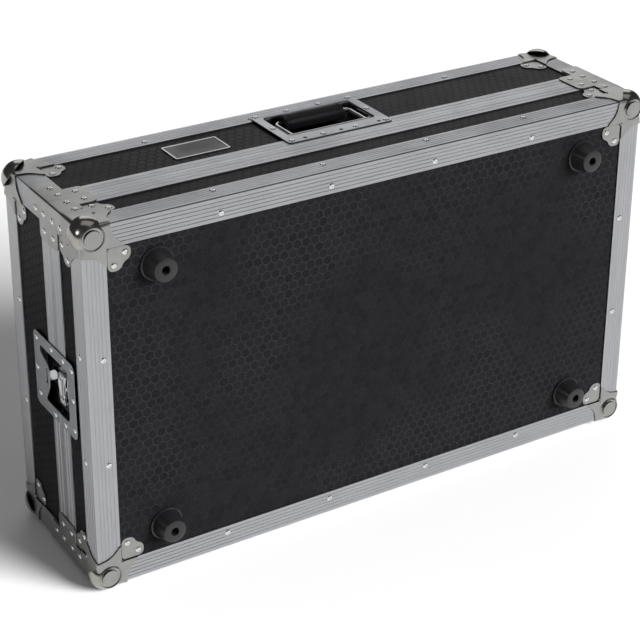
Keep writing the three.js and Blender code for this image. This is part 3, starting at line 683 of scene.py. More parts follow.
SATIN_NICKEL = Plated("satin_nickel", (0.36, 0.36, 0.35, 1.0), 0.26)
SATIN_ALUMINIUM = Plated("satin_aluminium", (0.36, 0.365, 0.38, 1.0), 0.30)
BRIGHT_NICKEL = Plated("bright_nickel", (0.38, 0.37, 0.345, 1.0), 0.15, haze=0.05, wave=0.00001)
RIVET_NICKEL = Plated("rivet_nickel", (0.78, 0.78, 0.77, 1.0), 0.10, haze=0.05, wave=0.00001)
ZINC = Plated("zinc_skin", (0.38, 0.39, 0.41, 1.0), 0.25, haze=0.08)
# Darker zinc for the insides of the handle dish and the latch pockets: painted shade, standing in for the
# shade that falls in these recesses.
POCKET_PAINTED_SHADE_ZINC = Plated("pocket_zinc", (0.26, 0.26, 0.27, 1.0), 0.17, haze=0.06)
CHROME = Plated("chrome_skin", (0.66, 0.67, 0.68, 1.0), 0.07, haze=0.03, wave=0.00001, scratch=0.1)
FOOT_RUBBER = Moulded("foot_rubber_skin", (0.0080, 0.0080, 0.0088, 1.0), 0.27, dust_share=0.05)
GRIP_RUBBER = Moulded("grip_rubber_skin", (0.0022, 0.0022, 0.0027, 1.0), 0.33, grain=500.0,
                      dust_share=0.02)
BAIL_WIRE = Plated("bail_wire", (0.62, 0.62, 0.63, 1.0), 0.19, haze=0.04, wave=0.00001, scratch=0.1)
BADGE_RIM = Plated("badge_rim", (0.55, 0.55, 0.56, 1.0), 0.28)
BADGE_FIELD = Moulded("badge_field", (0.020, 0.021, 0.023, 1.0), 0.36, dust_share=0.2)
FOAM = OpenCellFoam()


@cache
def dressed(finish: object) -> bpy.types.Material:
    """Builds a finish's material once."""
    return finish.material()


ROUNDING_STEPS = 5
BEND_STEPS = 3
FOLD_STEPS = 4
SOFT_STEPS = 2
SOFT_ANGLE = math.radians(40)


def outline(bm: Shape, points: Sequence[OutlineCorner], height: float) -> Face:
    """Makes one flat face that looks along +Z, with its corners rounded.

    Args:
        bm: The mesh that gets the face.
        points: Corners as [a, b, length of rounding along each edge].
        height: The face's level.

    Returns:
        The face.
    """
    before = set(bm.faces)
    verts = [bm.verts.new((a, b, height)) for a, b, _ in points]
    bm.faces.new(verts)
    for rounding in sorted({soft for _, _, soft in points if soft > 0}):
        chosen = [vert for vert, (_, _, soft) in zip(verts, points) if soft == rounding]
        bmesh.ops.bevel(bm, geom=chosen, affect="VERTICES", offset=rounding, offset_type="OFFSET",
                        segments=ROUNDING_STEPS, profile=0.5, material=-1, clamp_overlap=False)
    face = next(face for face in bm.faces if face not in before)
    face.normal_update()
    if face.normal.z < 0:
        face.normal_flip()
    return face


def rim_of(bm: Shape, points: Sequence[OutlineCorner], height: float) -> None:
    """Makes the edges of an outline, without its face."""
    bmesh.ops.delete(bm, geom=[outline(bm, points, height)], context="FACES_ONLY")


def rectangle(a_ends: Pair, b_ends: Pair, soft: float) -> list[OutlineCorner]:
    """Corners of a rectangle, rounded alike."""
    return [(a_ends[0], b_ends[0], soft), (a_ends[1], b_ends[0], soft),
            (a_ends[1], b_ends[1], soft), (a_ends[0], b_ends[1], soft)]


def verts_of(items: Iterable[Face | Edge]) -> list[Vert]:
    """The vertices of some faces or edges, each once and in the order in which they are met."""
    return list(dict.fromkeys(vert for item in items for vert in item.verts))


def moved(bm: Shape, matrix: Matrix) -> None:
    """Moves a whole mesh by a matrix; Piece.finish turns its faces back where that mirrors it."""
    bmesh.ops.transform(bm, matrix=matrix, space=Matrix.Identity(4), verts=bm.verts)


def carry(bm: Shape, faces: Iterable[Face], matrix: Matrix) -> None:
    """Moves faces by a matrix; a mirrored result has its faces turned back."""
    faces = list(faces)
    bmesh.ops.transform(bm, matrix=matrix, space=Matrix.Identity(4), verts=verts_of(faces))
    if matrix.determinant() < 0:
        bmesh.ops.reverse_faces(bm, faces=faces)


def cut(bm: Shape, place: Vector, beyond: Vector, keep: bool = False) -> None:
    """Cuts a mesh along a plane, and takes away what lies beyond it unless that is kept."""
    geom = list(bm.verts) + list(bm.edges) + list(bm.faces)
    bmesh.ops.bisect_plane(bm, geom=geom, dist=MERGE, plane_co=place, plane_no=beyond,
                           clear_outer=not keep)


def mesh_of(bm: Shape, name: str) -> bpy.types.Mesh:
    """Turns a finished shape into a mesh."""
    mesh = bpy.data.meshes.new(name)
    bm.to_mesh(mesh)
    bm.free()
    return mesh


def join(bm: Shape, other: Shape) -> None:
    """Adds another shape to this one."""
    carrier = mesh_of(other, "carrier")
    bm.from_mesh(carrier)
    bpy.data.meshes.remove(carrier)


def placed(name: str, data: bpy.types.ID) -> bpy.types.Object:
    """Makes an object of some data in the scene."""
    made = bpy.data.objects.new(name, data)
    bpy.context.scene.collection.objects.link(made)
    return made


def fill_between(bm: Shape) -> None:
    """Fills the flat area between a mesh's rims with faces that look along +Z."""
    bmesh.ops.triangle_fill(bm, use_beauty=True, use_dissolve=False, edges=list(bm.edges),
                            normal=AXES[2])
    for face in bm.faces:
        face.normal_update()
    bmesh.ops.reverse_faces(bm, faces=[face for face in bm.faces if face.normal.z < 0])


def thicken(bm: Shape, faces: Iterable[Face], steel: float) -> None:
    """Gives a sheet its thickness, behind the side that shows."""
    bmesh.ops.solidify(bm, geom=list(faces), thickness=steel)


def round_edges(bm: Shape, edges: list[Edge], offset: float) -> None:
    """Rounds edges."""
    bmesh.ops.bevel(bm, geom=edges, affect="EDGES", offset=offset, offset_type="OFFSET",
                    segments=FOLD_STEPS, profile=0.5, material=-1)


def fold(bm: Shape, bend: float, steel: float) -> None:
    """Joins two flat sheets where they meet, bends them there and gives them their thickness."""
    bmesh.ops.remove_doubles(bm, verts=bm.verts, dist=MERGE)
    round_edges(bm, [edge for edge in bm.edges if len(edge.link_faces) == 2], bend)
    thicken(bm, bm.faces, steel)


def lathe(bm: Shape, profile: Sequence[Pair], steps: int) -> list[Face]:
    """Turns a profile round the Z axis.

    Args:
        bm: The mesh that gets the faces.
        profile: Points as [radius, height].
        steps: Sides of the turned shape.

    Returns:
        The new faces, looking away from the inside.
    """
    before = set(bm.faces)
    verts = [bm.verts.new((radius, 0.0, height)) for radius, height in profile]
    edges = [bm.edges.new(pair) for pair in zip(verts, verts[1:])]
    bmesh.ops.spin(bm, geom=verts + edges, cent=(0, 0, 0), axis=AXES[2], angle=math.tau, steps=steps,
                   use_merge=True)
    faces = [face for face in bm.faces if face not in before]
    bmesh.ops.remove_doubles(bm, verts=verts_of(faces), dist=MERGE)
    faces = [face for face in bm.faces if face not in before]
    bmesh.ops.recalc_face_normals(bm, faces=faces)
    highest = max(faces, key=lambda face: face.calc_center_median().z)
    if highest.normal.z < 0:
        bmesh.ops.reverse_faces(bm, faces=faces)
    return faces


def bridge(bm: Shape, outer: Face, inner: Face) -> None:
    """Bridges the outlines of two faces with as many corners; the outer face is taken away."""
    before = set(bm.faces)
    edges = list(outer.edges) + list(inner.edges)
    bmesh.ops.delete(bm, geom=[outer], context="FACES_ONLY")
    bmesh.ops.bridge_loops(bm, edges=edges)
    made = [face for face in bm.faces if face not in before]
    for face in made:
        face.normal_update()
    if sum(face.normal.z for face in made) < 0:
        bmesh.ops.reverse_faces(bm, faces=made)


def sunk(bm: Shape, face: Face, steps: Sequence[Pair]) -> None:
    """Insets a face again and again, each time by [inwards, outwards of the plane]."""
    for inwards, rise in steps:
        bmesh.ops.inset_individual(bm, faces=[face], thickness=inwards, depth=rise,
                                   use_even_offset=True)


def quarter_steps(radius: float, hollow: bool) -> list[Pair]:
    """Steps of a quarter-round bend from a flat rim down into a pocket, or out of it onto the floor."""
    steps = []
    for index in range(BEND_STEPS):
        start, end = (math.pi / 2 * share / BEND_STEPS for share in (index, index + 1))
        level = radius * (math.sin(end) - math.sin(start))
        drop = radius * (math.cos(start) - math.cos(end))
        steps.append((drop, -level) if hollow else (level, -drop))
    return steps


@dataclass
class Piece:
    """A mesh in the making, with the finishes and the body that it gets."""

    name: str
    body: str
    slot: str
    finishes: tuple
    stands_for: tuple[str, ...] = ()
    softened: float = 0.0
    crease: float = math.radians(34)
    bm: Shape = field(default_factory=bmesh.new)

    def finish(self) -> bpy.types.Object:
        """Turns the mesh into an object, dresses it and makes it ride on its body."""
        bmesh.ops.recalc_face_normals(self.bm, faces=self.bm.faces)
        mesh = mesh_of(self.bm, self.name)
        mesh.shade_smooth()
        mesh.set_sharp_from_angle(angle=self.crease)
        piece = placed(self.name, mesh)
        for finish in self.finishes:
            mesh.materials.append(dressed(finish))
        if self.softened:
            bevel = piece.modifiers.new("softened edges", "BEVEL")
            bevel.width = self.softened
            bevel.segments = SOFT_STEPS
            bevel.angle_limit = SOFT_ANGLE
        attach(piece, self.body)
        if self.stands_for:
            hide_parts(*self.stands_for)
        LOG.info("%s: %d faces on %s", self.name, len(mesh.polygons), self.body)
        return piece


@dataclass
class Boards:
    """The laminated boards and the aluminium sections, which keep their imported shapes."""

    case: CaseFrame

    def dress(self) -> None:
        """Gives each packed board and section its finish."""
        for half in Half:
            self.paint(f"{half.word}_panel", Laminate(Plane.FACE))
            self.paint(f"{half.word}_rim", Extrusion(Run.ROUND, self.case))
            for sides, plane, run in ((Level, Plane.DECK, Run.X), (Side, Plane.END, Run.Z)):
                for side in sides:
                    self.paint(f"{half.word}_wall_{side.word}", Laminate(plane))
                    self.paint(f"{half.word}_edge_{side.word}", Extrusion(run, self.case))

    def paint(self, node: str, finish: object) -> None:
        """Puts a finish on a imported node."""
        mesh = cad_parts[node].data
        mesh.materials.clear()
        mesh.materials.append(dressed(finish))
        LOG.info("%s: dressed", node)


@dataclass
class BallCorner:
    """Pressed steel corner: three bent sheets with lobed tabs, and a ball with one raised disc."""

    corner: Corner
    proud: float = 0.0015
    steel: float = 0.0012
    softened: float = 0.0002
    radius: float = 0.022
    centre: float = 0.014
    reach: float = 0.036
    inner_reach: float = 0.052
    leg: float = 0.0303
    slit: float = 0.0012
    gap: float = 0.0003
    tab_level: float = -0.0003
    tab_end: float = 0.0606
    neck_width: float = 0.003
    lobe: float = 0.0068
    waist_shares: Pair = (1.35, 2.0)
    shoulder_shares: Pair = (0.20, 0.55)
    shoulder_soft_share: float = 0.24
    rivet_shares: Pair = (1.15, 1.05)
    bend_at_ball: float = 0.014
    bend_at_end: float = 0.0018
    bend_cut_shares: tuple[float, ...] = (0.05, 0.11, 0.18, 0.27, 0.38, 0.5, 0.63, 0.8, 1.0)
    sheet_cut_shares: tuple[float, ...] = (0.5, 0.62, 0.76)
    disc: float = 0.0108
    disc_rise: float = 0.004
    lip: float = 0.003
    groove_floor: float = 0.0017
    foot_rise: float = 0.0012
    inside_share: float = 1.2
    crown_start: float = 0.6
    crown_slope: float = 0.4
    sides: int = 44

    @property
    def node(self) -> str:
        """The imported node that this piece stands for."""
        return f"{self.corner.half.word}_ball_corner_{self.corner.name}"

    @property
    def long_reach(self) -> float:
        """How far the sheets reach along Y: on the base they end square at the brace."""
        return Brace(self.corner).ends[0] - self.gap if self.corner.half is Half.BASE else 0.0

    @property
    def crown_rise(self) -> float:
        """How far the ball stands beyond the angles on the long and short sides."""
        low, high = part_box(self.node)
        end = low.x if self.corner.side is Side.LEFT else high.x
        return abs(end - self.corner.case.end_x(self.corner.side))

    def leg_sheet(self, bm: Shape, square_end: float) -> Face:
        """Makes the sheet over the legs of the angles; it ends square at square_end along b, if given."""
        near = -self.proud
        edge = self.leg
        shoulder = (self.reach + self.shoulder_shares[0] * (self.inner_reach - self.reach),
                    self.shoulder_shares[1] * edge)
        soft = edge * self.shoulder_soft_share
        tip = self.slit
        across = [(near, near, 0.0), (self.reach, near, 0.0), (*shoulder, soft),
                  (self.inner_reach, edge - tip, tip), (self.inner_reach, edge, 0.0), (edge, edge, 0.0)]
        if square_end:
            down = [(edge, square_end, tip), (near, square_end, 0.0)]
        else:
            down = [(edge, self.inner_reach, 0.0), (edge - tip, self.inner_reach, tip),
                    (shoulder[1], shoulder[0], soft), (near, self.reach, 0.0)]
        return outline(bm, across + down, self.proud)

    def tab(self, bm: Shape, beside: float, below: float) -> Face:
        """Makes the lobed tab that is riveted to the board.

        Args:
            bm: The mesh that gets it.
            beside: Where the brace beside it ends along a, or 0 without one.
            below: Where the leg sheet ends along b.

        Returns:
            The tab's face.
        """
        start = self.leg + self.slit
        far, lobe = self.tab_end, self.lobe
        waist, shoulder = (far - lobe * share for share in self.waist_shares)
        points = [(start, start, 0.0), (far, start, lobe), (far, shoulder, lobe * 0.8),
                  (waist, waist, lobe * 0.45), (shoulder, far, lobe * (0.4 if beside else 0.8))]
        if beside:
            gap = self.slit / 3
            points += [(beside + gap, far, 0.0), (beside + gap, below + gap, 0.0),
                       (start, below + gap, 0.0)]
        else:
            points.append((start, far, lobe))
        return outline(bm, points, self.tab_level)

    def neck(self, bm: Shape) -> list[Face]:
        """Makes the step from the leg sheet down to the tab, beside their shared corner."""
        rows = []
        for edge, level in ((self.leg - self.slit / 2, self.proud), (self.leg + self.slit, self.tab_level)):
            wide = edge + self.neck_width
            places = ((wide, edge), (edge, edge), (edge, wide))
            rows.append([bm.verts.new((a, b, level)) for a, b in places])
        upper, lower = rows
        return [bm.faces.new((upper[0], upper[1], lower[1], lower[0])),
                bm.faces.new((upper[1], upper[2], lower[2], lower[1]))]

    def rounded(self, place: Vector) -> Vector:
        """Rounds the three bent edges, widely at the ball and tightly at the sheets' ends."""
        local = place + Vector((self.proud,) * 3)
        share = max(0.0, 1 - max(local) / self.reach)
        bend = self.bend_at_end + (self.bend_at_ball - self.bend_at_end) * share
        core = Vector(max(length, bend) for length in local)
        away = local - core
        if away.length > 0:
            local = core + away.normalized() * bend
        return local - Vector((self.proud,) * 3)

    def shell(self, bm: Shape) -> None:
        """Makes the three bent sheets as one shell."""
        for sheet in CORNER_SHEETS:
            end = self.long_reach if sheet is not ON_FACE else 0.0
            carry(bm, [self.leg_sheet(bm, end)], sheet)
        bmesh.ops.remove_doubles(bm, verts=bm.verts, dist=MERGE)
        cuts = [self.bend_at_ball * share for share in self.bend_cut_shares]
        cuts += [self.reach * share for share in self.sheet_cut_shares]
        for axis in AXES:
            for length in cuts:
                cut(bm, axis * (length - self.proud), axis, keep=True)
        for vert in bm.verts:
            vert.co = self.rounded(vert.co)
        thicken(bm, bm.faces, self.steel)

    def tabs(self, bm: Shape) -> None:
        """Makes the tab and its neck on each side."""
        for sheet in CORNER_SHEETS:
            below = 0.0 if sheet is ON_FACE else self.long_reach
            beside = Brace.width if below else 0.0
            for faces in ([self.tab(bm, beside, below)], self.neck(bm)):
                carry(bm, faces, sheet)
                thicken(bm, faces, self.steel)

    def crowned(self, outwards: float) -> float:
        """Flattens the ball softly towards its crown, so that it ends level with the discs."""
        start = self.radius * self.crown_start
        if outwards <= start:
            return outwards
        span = self.radius - start
        share = (outwards - start) / span
        rest = 1 - share
        top = self.centre + self.crown_rise
        return (start * (1 + 2 * share) * rest ** 2 + span * share * rest ** 2
                + top * share ** 2 * (3 - 2 * share) - span * self.crown_slope * share ** 2 * rest)

    def ball(self, bm: Shape) -> None:
        """Makes the part of the ball that shows, softly flattened on two sides and cut for its disc."""
        other = bmesh.new()
        bmesh.ops.create_uvsphere(other, u_segments=self.sides, v_segments=self.sides // 2,
                                  radius=self.radius)
        for vert in other.verts:
            vert.co.x = -self.crowned(-vert.co.x)
            vert.co.z = -self.crowned(-vert.co.z)
        bmesh.ops.translate(other, vec=Vector((self.centre,) * 3), verts=other.verts)
        cut(other, AXES[1] * -self.foot_rise, -AXES[1])
        cut(other, Vector((self.radius * self.inside_share / 3,) * 3), Vector((1, 1, 1)))
        for face in other.faces:
            face.material_index = 1
        thicken(other, other.faces, self.steel)
        join(bm, other)

    def on_ball(self, rise: float) -> Pair:
        """The ball's point at a height over its large face, as [radius, height]."""
        return math.sqrt(self.radius ** 2 - (self.centre + rise) ** 2), rise

    def raised_disc(self, bm: Shape) -> None:
        """Makes the raised disc with its groove and lip on the ball's large-face side."""
        disc, floor = self.disc, self.groove_floor
        lip_radius = self.on_ball(self.lip)[0]
        foot = self.on_ball(self.foot_rise)
        chamfer = self.steel / 3
        groove_outer = lip_radius - chamfer * 2
        profile = [
            (0.0, self.disc_rise), (disc - chamfer, self.disc_rise), (disc, self.disc_rise - chamfer),
            (disc + chamfer / 2, floor), (groove_outer, floor),
            (groove_outer + chamfer, self.lip - chamfer / 2), (lip_radius, self.lip),
            self.on_ball((self.lip + self.foot_rise) / 2), foot, (foot[0], 0.0), (0.0, 0.0),
        ]
        other = bmesh.new()
        for face in lathe(other, profile, self.sides):
            middle = face.calc_center_median()
            reach = math.hypot(middle.x, middle.y)
            face.material_index = 1 if disc - chamfer < reach < groove_outer + chamfer else 0
        bmesh.ops.translate(other, vec=Vector((self.centre, self.centre, 0)), verts=other.verts)
        carry(other, other.faces, ON_FACE)
        join(bm, other)

    def build(self) -> bpy.types.Object:
        """Makes the whole fitting."""
        piece = Piece(f"{self.node}_pressed", self.corner.half.word, "nickel_plate",
                      (SATIN_NICKEL, BRIGHT_NICKEL), (self.node,), self.softened)
        self.shell(piece.bm)
        self.tabs(piece.bm)
        self.ball(piece.bm)
        self.raised_disc(piece.bm)
        moved(piece.bm, self.corner.matrix)
        return piece.finish()

    def rivet_spots(self) -> Spots:
        """Where its rivets sit and which way they look."""
        near = self.leg + self.slit + self.lobe * self.rivet_shares[0]
        far = self.tab_end - self.lobe * self.rivet_shares[1]
        spots = []
        for sheet in CORNER_SHEETS:
            spots += self.corner.spots_on(sheet, ((far, near), (near, far)), self.tab_level)
        return spots


@dataclass
class Brace:
    """Bent brace at the parting line: a stepped sheet on each of two adjoining sides."""

    corner: Corner
    proud: float = 0.0015
    steel: float = 0.0012
    softened: float = 0.00012
    width: float = 0.028
    arm: float = 0.052
    rounding: float = 0.007
    bend: float = 0.0022
    band: float = 0.024
    rivet_from_edge: float = 0.018
    rivet_spacing: float = 0.0215

    @property
    def node(self) -> str:
        """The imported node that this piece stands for."""
        return f"{self.corner.half.word}_brace_{self.corner.name}"

    @property
    def ends(self) -> Pair:
        """Where the brace starts and ends, measured from its half's large face."""
        return self.corner.span_of(self.node)

    def build(self) -> bpy.types.Object:
        """Makes the brace."""
        piece = Piece(f"{self.node}_bent", self.corner.half.word, "nickel_plate", (SATIN_NICKEL,),
                      (self.node,), self.softened)
        near = -self.proud
        start, end = self.ends
        shoulder = end - self.band
        points = [(near, start, 0.0), (self.width, start, self.rounding), (self.width, shoulder, 0.0),
                  (self.arm, shoulder, self.rounding), (self.arm, end, 0.0), (near, end, 0.0)]
        for sheet in (ON_LEVEL, ON_SIDE):
            carry(piece.bm, [outline(piece.bm, points, self.proud)], sheet)
        fold(piece.bm, self.bend, self.steel)
        moved(piece.bm, self.corner.matrix)
        return piece.finish()

    def rivet_spots(self) -> Spots:
        """Where its rivets sit and which way they look."""
        first = self.ends[1] - self.band / 2
        places = [(self.rivet_from_edge, first), (self.rivet_from_edge + self.rivet_spacing, first),
                  (self.rivet_from_edge, first - self.rivet_spacing)]
        spots = []
        for sheet in (ON_LEVEL, ON_SIDE):
            spots += self.corner.spots_on(sheet, places, self.proud)
        return spots


@dataclass
class CornerPost:
    """Plain folded strip over a corner of the lid, between its ball corner and the rim."""

    corner: Corner
    leg: float = 0.030
    sheet: float = 0.0015
    bend: float = 0.0012

    def build(self) -> bpy.types.Object:
        """Makes the strip."""
        node = f"lid_corner_post_{self.corner.name}"
        piece = Piece(f"{node}_folded", "lid", "aluminium_extrusion", (SATIN_ALUMINIUM,), (node,))
        points = rectangle((0.0, self.leg), self.corner.span_of(node), 0.0)
        for sheet in (ON_LEVEL, ON_SIDE):
            carry(piece.bm, [outline(piece.bm, points, 0.0)], sheet)
        fold(piece.bm, self.bend, self.sheet)
        moved(piece.bm, self.corner.matrix)
        return piece.finish()


@dataclass
class Rivets:
    """Groups of domed rivet heads with a small hole, one piece for each group."""

    radius: float = 0.0040
    rise: float = 0.0011
    hole: float = 0.0010
    sides: int = 12
    crease: float = math.radians(50)

    def head(self) -> bpy.types.Mesh:
        """Makes one head at the origin, looking along +Z."""
        bm = bmesh.new()
        radius, rise, hole = self.radius, self.rise, self.hole
        buried = -rise / 5
        profile = [(0.0, rise * 0.3), (hole, rise * 0.3), (hole * 1.2, rise * 0.9), (radius * 0.55, rise),
                   (radius * 0.83, rise * 0.68), (radius, 0.0), (radius, buried), (0.0, buried)]
        lathe(bm, profile, self.sides)
        return mesh_of(bm, "rivet_head")

    def group(self, name: str, body: str, slot: str, spots: Spots) -> bpy.types.Object:
        """Makes one piece of all the heads in a group.

        Args:
            name: The piece's name.
            body: The body that it rides on.
            slot: The record's material slot; not used.
            spots: The place and outward direction of each head.

        Returns:
            The piece.
        """
        head = self.head()
        piece = Piece(name, body, slot, (RIVET_NICKEL,), crease=self.crease)
        for place, outwards in spots:
            first = len(piece.bm.verts)
            piece.bm.from_mesh(head)
            piece.bm.verts.ensure_lookup_table()
            turn = AXES[2].rotation_difference(outwards).to_matrix().to_4x4()
            bmesh.ops.transform(piece.bm, matrix=Matrix.Translation(place) @ turn,
                                space=Matrix.Identity(4), verts=piece.bm.verts[first:])
        bpy.data.meshes.remove(head)
        return piece.finish()


@dataclass
class EdgeRivets:
    """The rows of rivets along the legs of the edge angles."""

    case: CaseFrame
    from_edge: float = 0.0205
    long_places: tuple[float, ...] = (-0.2235, -0.0745, 0.0745, 0.2235)
    short_places: Pair = (-0.070, 0.070)

    def spots(self, half: Half) -> Spots:
        """Where the rivets of one half sit and which way they look."""
        case, inset = self.case, self.from_edge
        face = case.face_y(half)
        looks = case.outward(half)
        beside = face - looks.y * inset
        spots = []
        for level in Level:
            edge = case.edge_z(level)
            for x in self.long_places:
                spots.append((Vector((x, face, edge - level.value * inset)), looks))
                spots.append((Vector((x, beside, edge)), AXES[2] * level.value))
        for side in Side:
            edge = case.end_x(side)
            for z in (case.middle.z + rise for rise in self.short_places):
                spots.append((Vector((edge - side.value * inset, face, z)), looks))
                spots.append((Vector((edge, beside, z)), AXES[0] * side.value))
        return spots


@dataclass
class Feet:
    """Four tapered rubber feet, each held by a screw down its middle."""

    flange: float = 0.0025
    flange_radius: float = 0.0215
    root_radius: float = 0.0198
    face_radius: float = 0.0150
    hole_radius: float = 0.0050
    hole_depth: float = 0.012
    soft: float = 0.0016
    screw_radius: float = 0.0042
    screw_rise_share: float = 0.55
    sides: int = 40

    def profile(self, height: float) -> list[Pair]:
        """The turned section of a foot of a given height."""
        soft, face = self.soft, self.face_radius
        return [
            (0.0, height - self.hole_depth), (self.hole_radius, height - self.hole_depth),
            (self.hole_radius, height - soft / 2), (self.hole_radius + soft / 2, height),
            (face - soft, height), (face - soft * 0.3, height - soft * 0.3), (face, height - soft),
            (self.root_radius, self.flange + soft * 0.4), (self.root_radius + soft * 0.5, self.flange),
            (self.flange_radius - soft * 0.4, self.flange), (self.flange_radius, self.flange - soft * 0.4),
            (self.flange_radius, 0.0), (0.0, 0.0),
        ]

    def screw(self, bm: Shape, seat: float) -> list[Face]:
        """Makes a screw's head with a round recess on its seat."""
        radius = self.screw_radius
        rise = radius * self.screw_rise_share
        profile = [(0.0, seat + rise * 0.5), (radius * 0.2, seat + rise * 0.5),
                   (radius * 0.42, seat + rise), (radius * 0.8, seat + rise * 0.75),
                   (radius, seat + rise * 0.2), (radius, seat), (0.0, seat)]
        return lathe(bm, profile, self.sides // 2)

    def build(self) -> None:
        """Makes the feet and their screws."""
        screws = Piece("foot_screws", "base", "zinc_plate", (ZINC,))
        for level in Level:
            for side in Side:
                node = f"foot_{level.word}_{side.word}"
                low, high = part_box(node)
                origin = Vector(((low.x + high.x) / 2, high.y, (low.z + high.z) / 2))
                height = high.y - low.y
                stand = basis(AXES[0], AXES[2], -AXES[1], origin)
                foot = Piece(f"{node}_moulded", "base", "foot_rubber", (FOOT_RUBBER,), (node,))
                carry(foot.bm, lathe(foot.bm, self.profile(height), self.sides), stand)
                foot.finish()
                carry(screws.bm, self.screw(screws.bm, height - self.hole_depth), stand)
        screws.finish()


@dataclass
class CarryHandle:
    """Recessed handle: a pressed dish, a wire bail hinged along its near side and a rubber sleeve."""

    case: CaseFrame
    steel: float = 0.0012
    proud: float = 0.0015
    softened: float = 0.0003
    border_end: float = 0.014
    border_near: float = 0.023
    border_far: float = 0.017
    depth: float = 0.018
    plate_rounding: float = 0.005
    pocket_rounding: float = 0.003
    lip_bend: float = 0.0022
    floor_bend: float = 0.0016
    wire: float = 0.007
    wire_sides: int = 16
    nose_share: float = 0.25
    arm_inset: float = 0.008
    bend: float = 0.009
    bend_steps: int = 8
    grip_groove: float = 0.00046
    grip_sides: int = 40
    rivet_columns: tuple[float, ...] = (-0.0690, -0.0235, 0.0240, 0.0690)
    rivet_from_edge: float = 0.0068
    spare_holes: tuple[float, ...] = (-0.0497, 0.0027, 0.0587)
    spare_radius: float = 0.0024
    spare_sides: int = 12

    def dish(self) -> None:
        """Makes the pressed dish with its rolled lip and three spare holes."""
        low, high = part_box("handle_dish")
        piece = Piece("handle_dish_pressed", "lid", "zinc_plate", (ZINC, POCKET_PAINTED_SHADE_ZINC), ("handle_dish",),
                      self.softened)
        bm = piece.bm
        top = self.case.high.z + self.proud
        rim_of(bm, rectangle((low.x, high.x), (low.y, high.y), self.plate_rounding), top)
        row = low.y + self.rivet_from_edge
        for x in self.spare_holes:
            bmesh.ops.create_circle(bm, segments=self.spare_sides, radius=self.spare_radius,
                                    cap_ends=False, matrix=Matrix.Translation((x, row, top)))
        bend = self.lip_bend
        ends = (low.x + self.border_end - bend, high.x - self.border_end + bend)
        sides = (low.y + self.border_near - bend, high.y - self.border_far + bend)
        mouth = outline(bm, rectangle(ends, sides, self.pocket_rounding + bend), top)
        fill_between(bm)
        # The pocket's walls and floor take the darker zinc: painted shade in the recess.
        mouth.material_index = 1
        wall = self.depth + self.proud - bend - self.floor_bend
        sunk(bm, mouth, quarter_steps(bend, False))
        sunk(bm, mouth, [(self.steel / 6, -wall)])
        sunk(bm, mouth, quarter_steps(self.floor_bend, True))
        thicken(bm, bm.faces, self.steel)
        piece.finish()

    def tube(self, bm: Shape, start: Vector, heading: Vector, radius: float) -> list[Edge]:
        """Starts a round wire with a closed end; gives the edges of its first ring."""
        turn = AXES[2].rotation_difference(heading).to_matrix().to_4x4()
        made = bmesh.ops.create_circle(bm, segments=self.wire_sides, radius=radius, cap_ends=False,
                                       matrix=Matrix.Translation(start) @ turn)
        ring = list(dict.fromkeys(edge for vert in made["verts"] for edge in vert.link_edges))
        bmesh.ops.contextual_create(bm, geom=ring)
        return ring

    def onwards(self, bm: Shape, ring: list[Edge], by: Vector) -> list[Edge]:
        """Draws a wire straight on."""
        made = bmesh.ops.extrude_edge_only(bm, edges=ring)["geom"]
        verts = {item for item in made if isinstance(item, Vert)}
        bmesh.ops.translate(bm, vec=by, verts=list(verts))
        return [item for item in made if isinstance(item, Edge) and verts.issuperset(item.verts)]

    def around(self, bm: Shape, ring: list[Edge], centre: Vector) -> list[Edge]:
        """Bends a wire a quarter turn to the right, seen from above."""
        made = bmesh.ops.spin(bm, geom=verts_of(ring) + ring, cent=centre, axis=-AXES[2],
                              angle=math.pi / 2, steps=self.bend_steps)
        return [item for item in made["geom_last"] if isinstance(item, Edge)]

    def swell(self, bm: Shape, ring: list[Edge], centre: Vector, factor: float) -> None:
        """Makes a ring wider or narrower about its centre."""
        bmesh.ops.scale(bm, vec=(factor,) * 3, space=Matrix.Translation(-centre), verts=verts_of(ring))

    def rod(self, bm: Shape, start: Vector, end: Vector) -> None:
        """Makes the hinge rod with its chamfered ends."""
        radius = self.wire / 2
        nose = radius * self.nose_share
        ring = self.tube(bm, start, AXES[0], radius - nose)
        ring = self.onwards(bm, ring, AXES[0] * nose)
        self.swell(bm, ring, start + AXES[0] * nose, radius / (radius - nose))
        ring = self.onwards(bm, ring, AXES[0] * (end.x - start.x - 2 * nose))
        ring = self.onwards(bm, ring, AXES[0] * nose)
        self.swell(bm, ring, end, (radius - nose) / radius)
        bmesh.ops.contextual_create(bm, geom=ring)

    def bow(self, bm: Shape, hinge: Vector, reach: float) -> None:
        """Makes the bow that starts and ends in the rod."""
        half, bend = self.arm_centre, self.bend
        ring = self.tube(bm, Vector((-half, hinge.y, hinge.z)), AXES[1], self.wire / 2)
        ring = self.onwards(bm, ring, AXES[1] * (reach - bend))
        ring = self.around(bm, ring, hinge + Vector((bend - half, reach - bend, 0)))
        ring = self.onwards(bm, ring, AXES[0] * (2 * (half - bend)))
        ring = self.around(bm, ring, hinge + Vector((half - bend, reach - bend, 0)))
        ring = self.onwards(bm, ring, -AXES[1] * (reach - bend))
        bmesh.ops.contextual_create(bm, geom=ring)

    def bail(self) -> None:
        """Makes the wire bail: its hinge rod and the bow that carries the sleeve."""
        low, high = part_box("handle_bail")
        radius = self.wire / 2
        piece = Piece("handle_bail_wire", "handle", "chrome_plate", (BAIL_WIRE,), ("handle_bail",))
        hinge = Vector((0, low.y + radius, high.z - radius))
        start, end = (Vector((x, hinge.y, hinge.z)) for x in (low.x, high.x))
        self.rod(piece.bm, start, end)
        self.bow(piece.bm, hinge, high.y - radius - hinge.y)
        piece.finish()

    @property
    def arm_centre(self) -> float:
        """How far the bail's arms stand from the middle."""
        low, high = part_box("handle_dish")
        return (high.x - low.x) / 2 - self.border_end - self.arm_inset

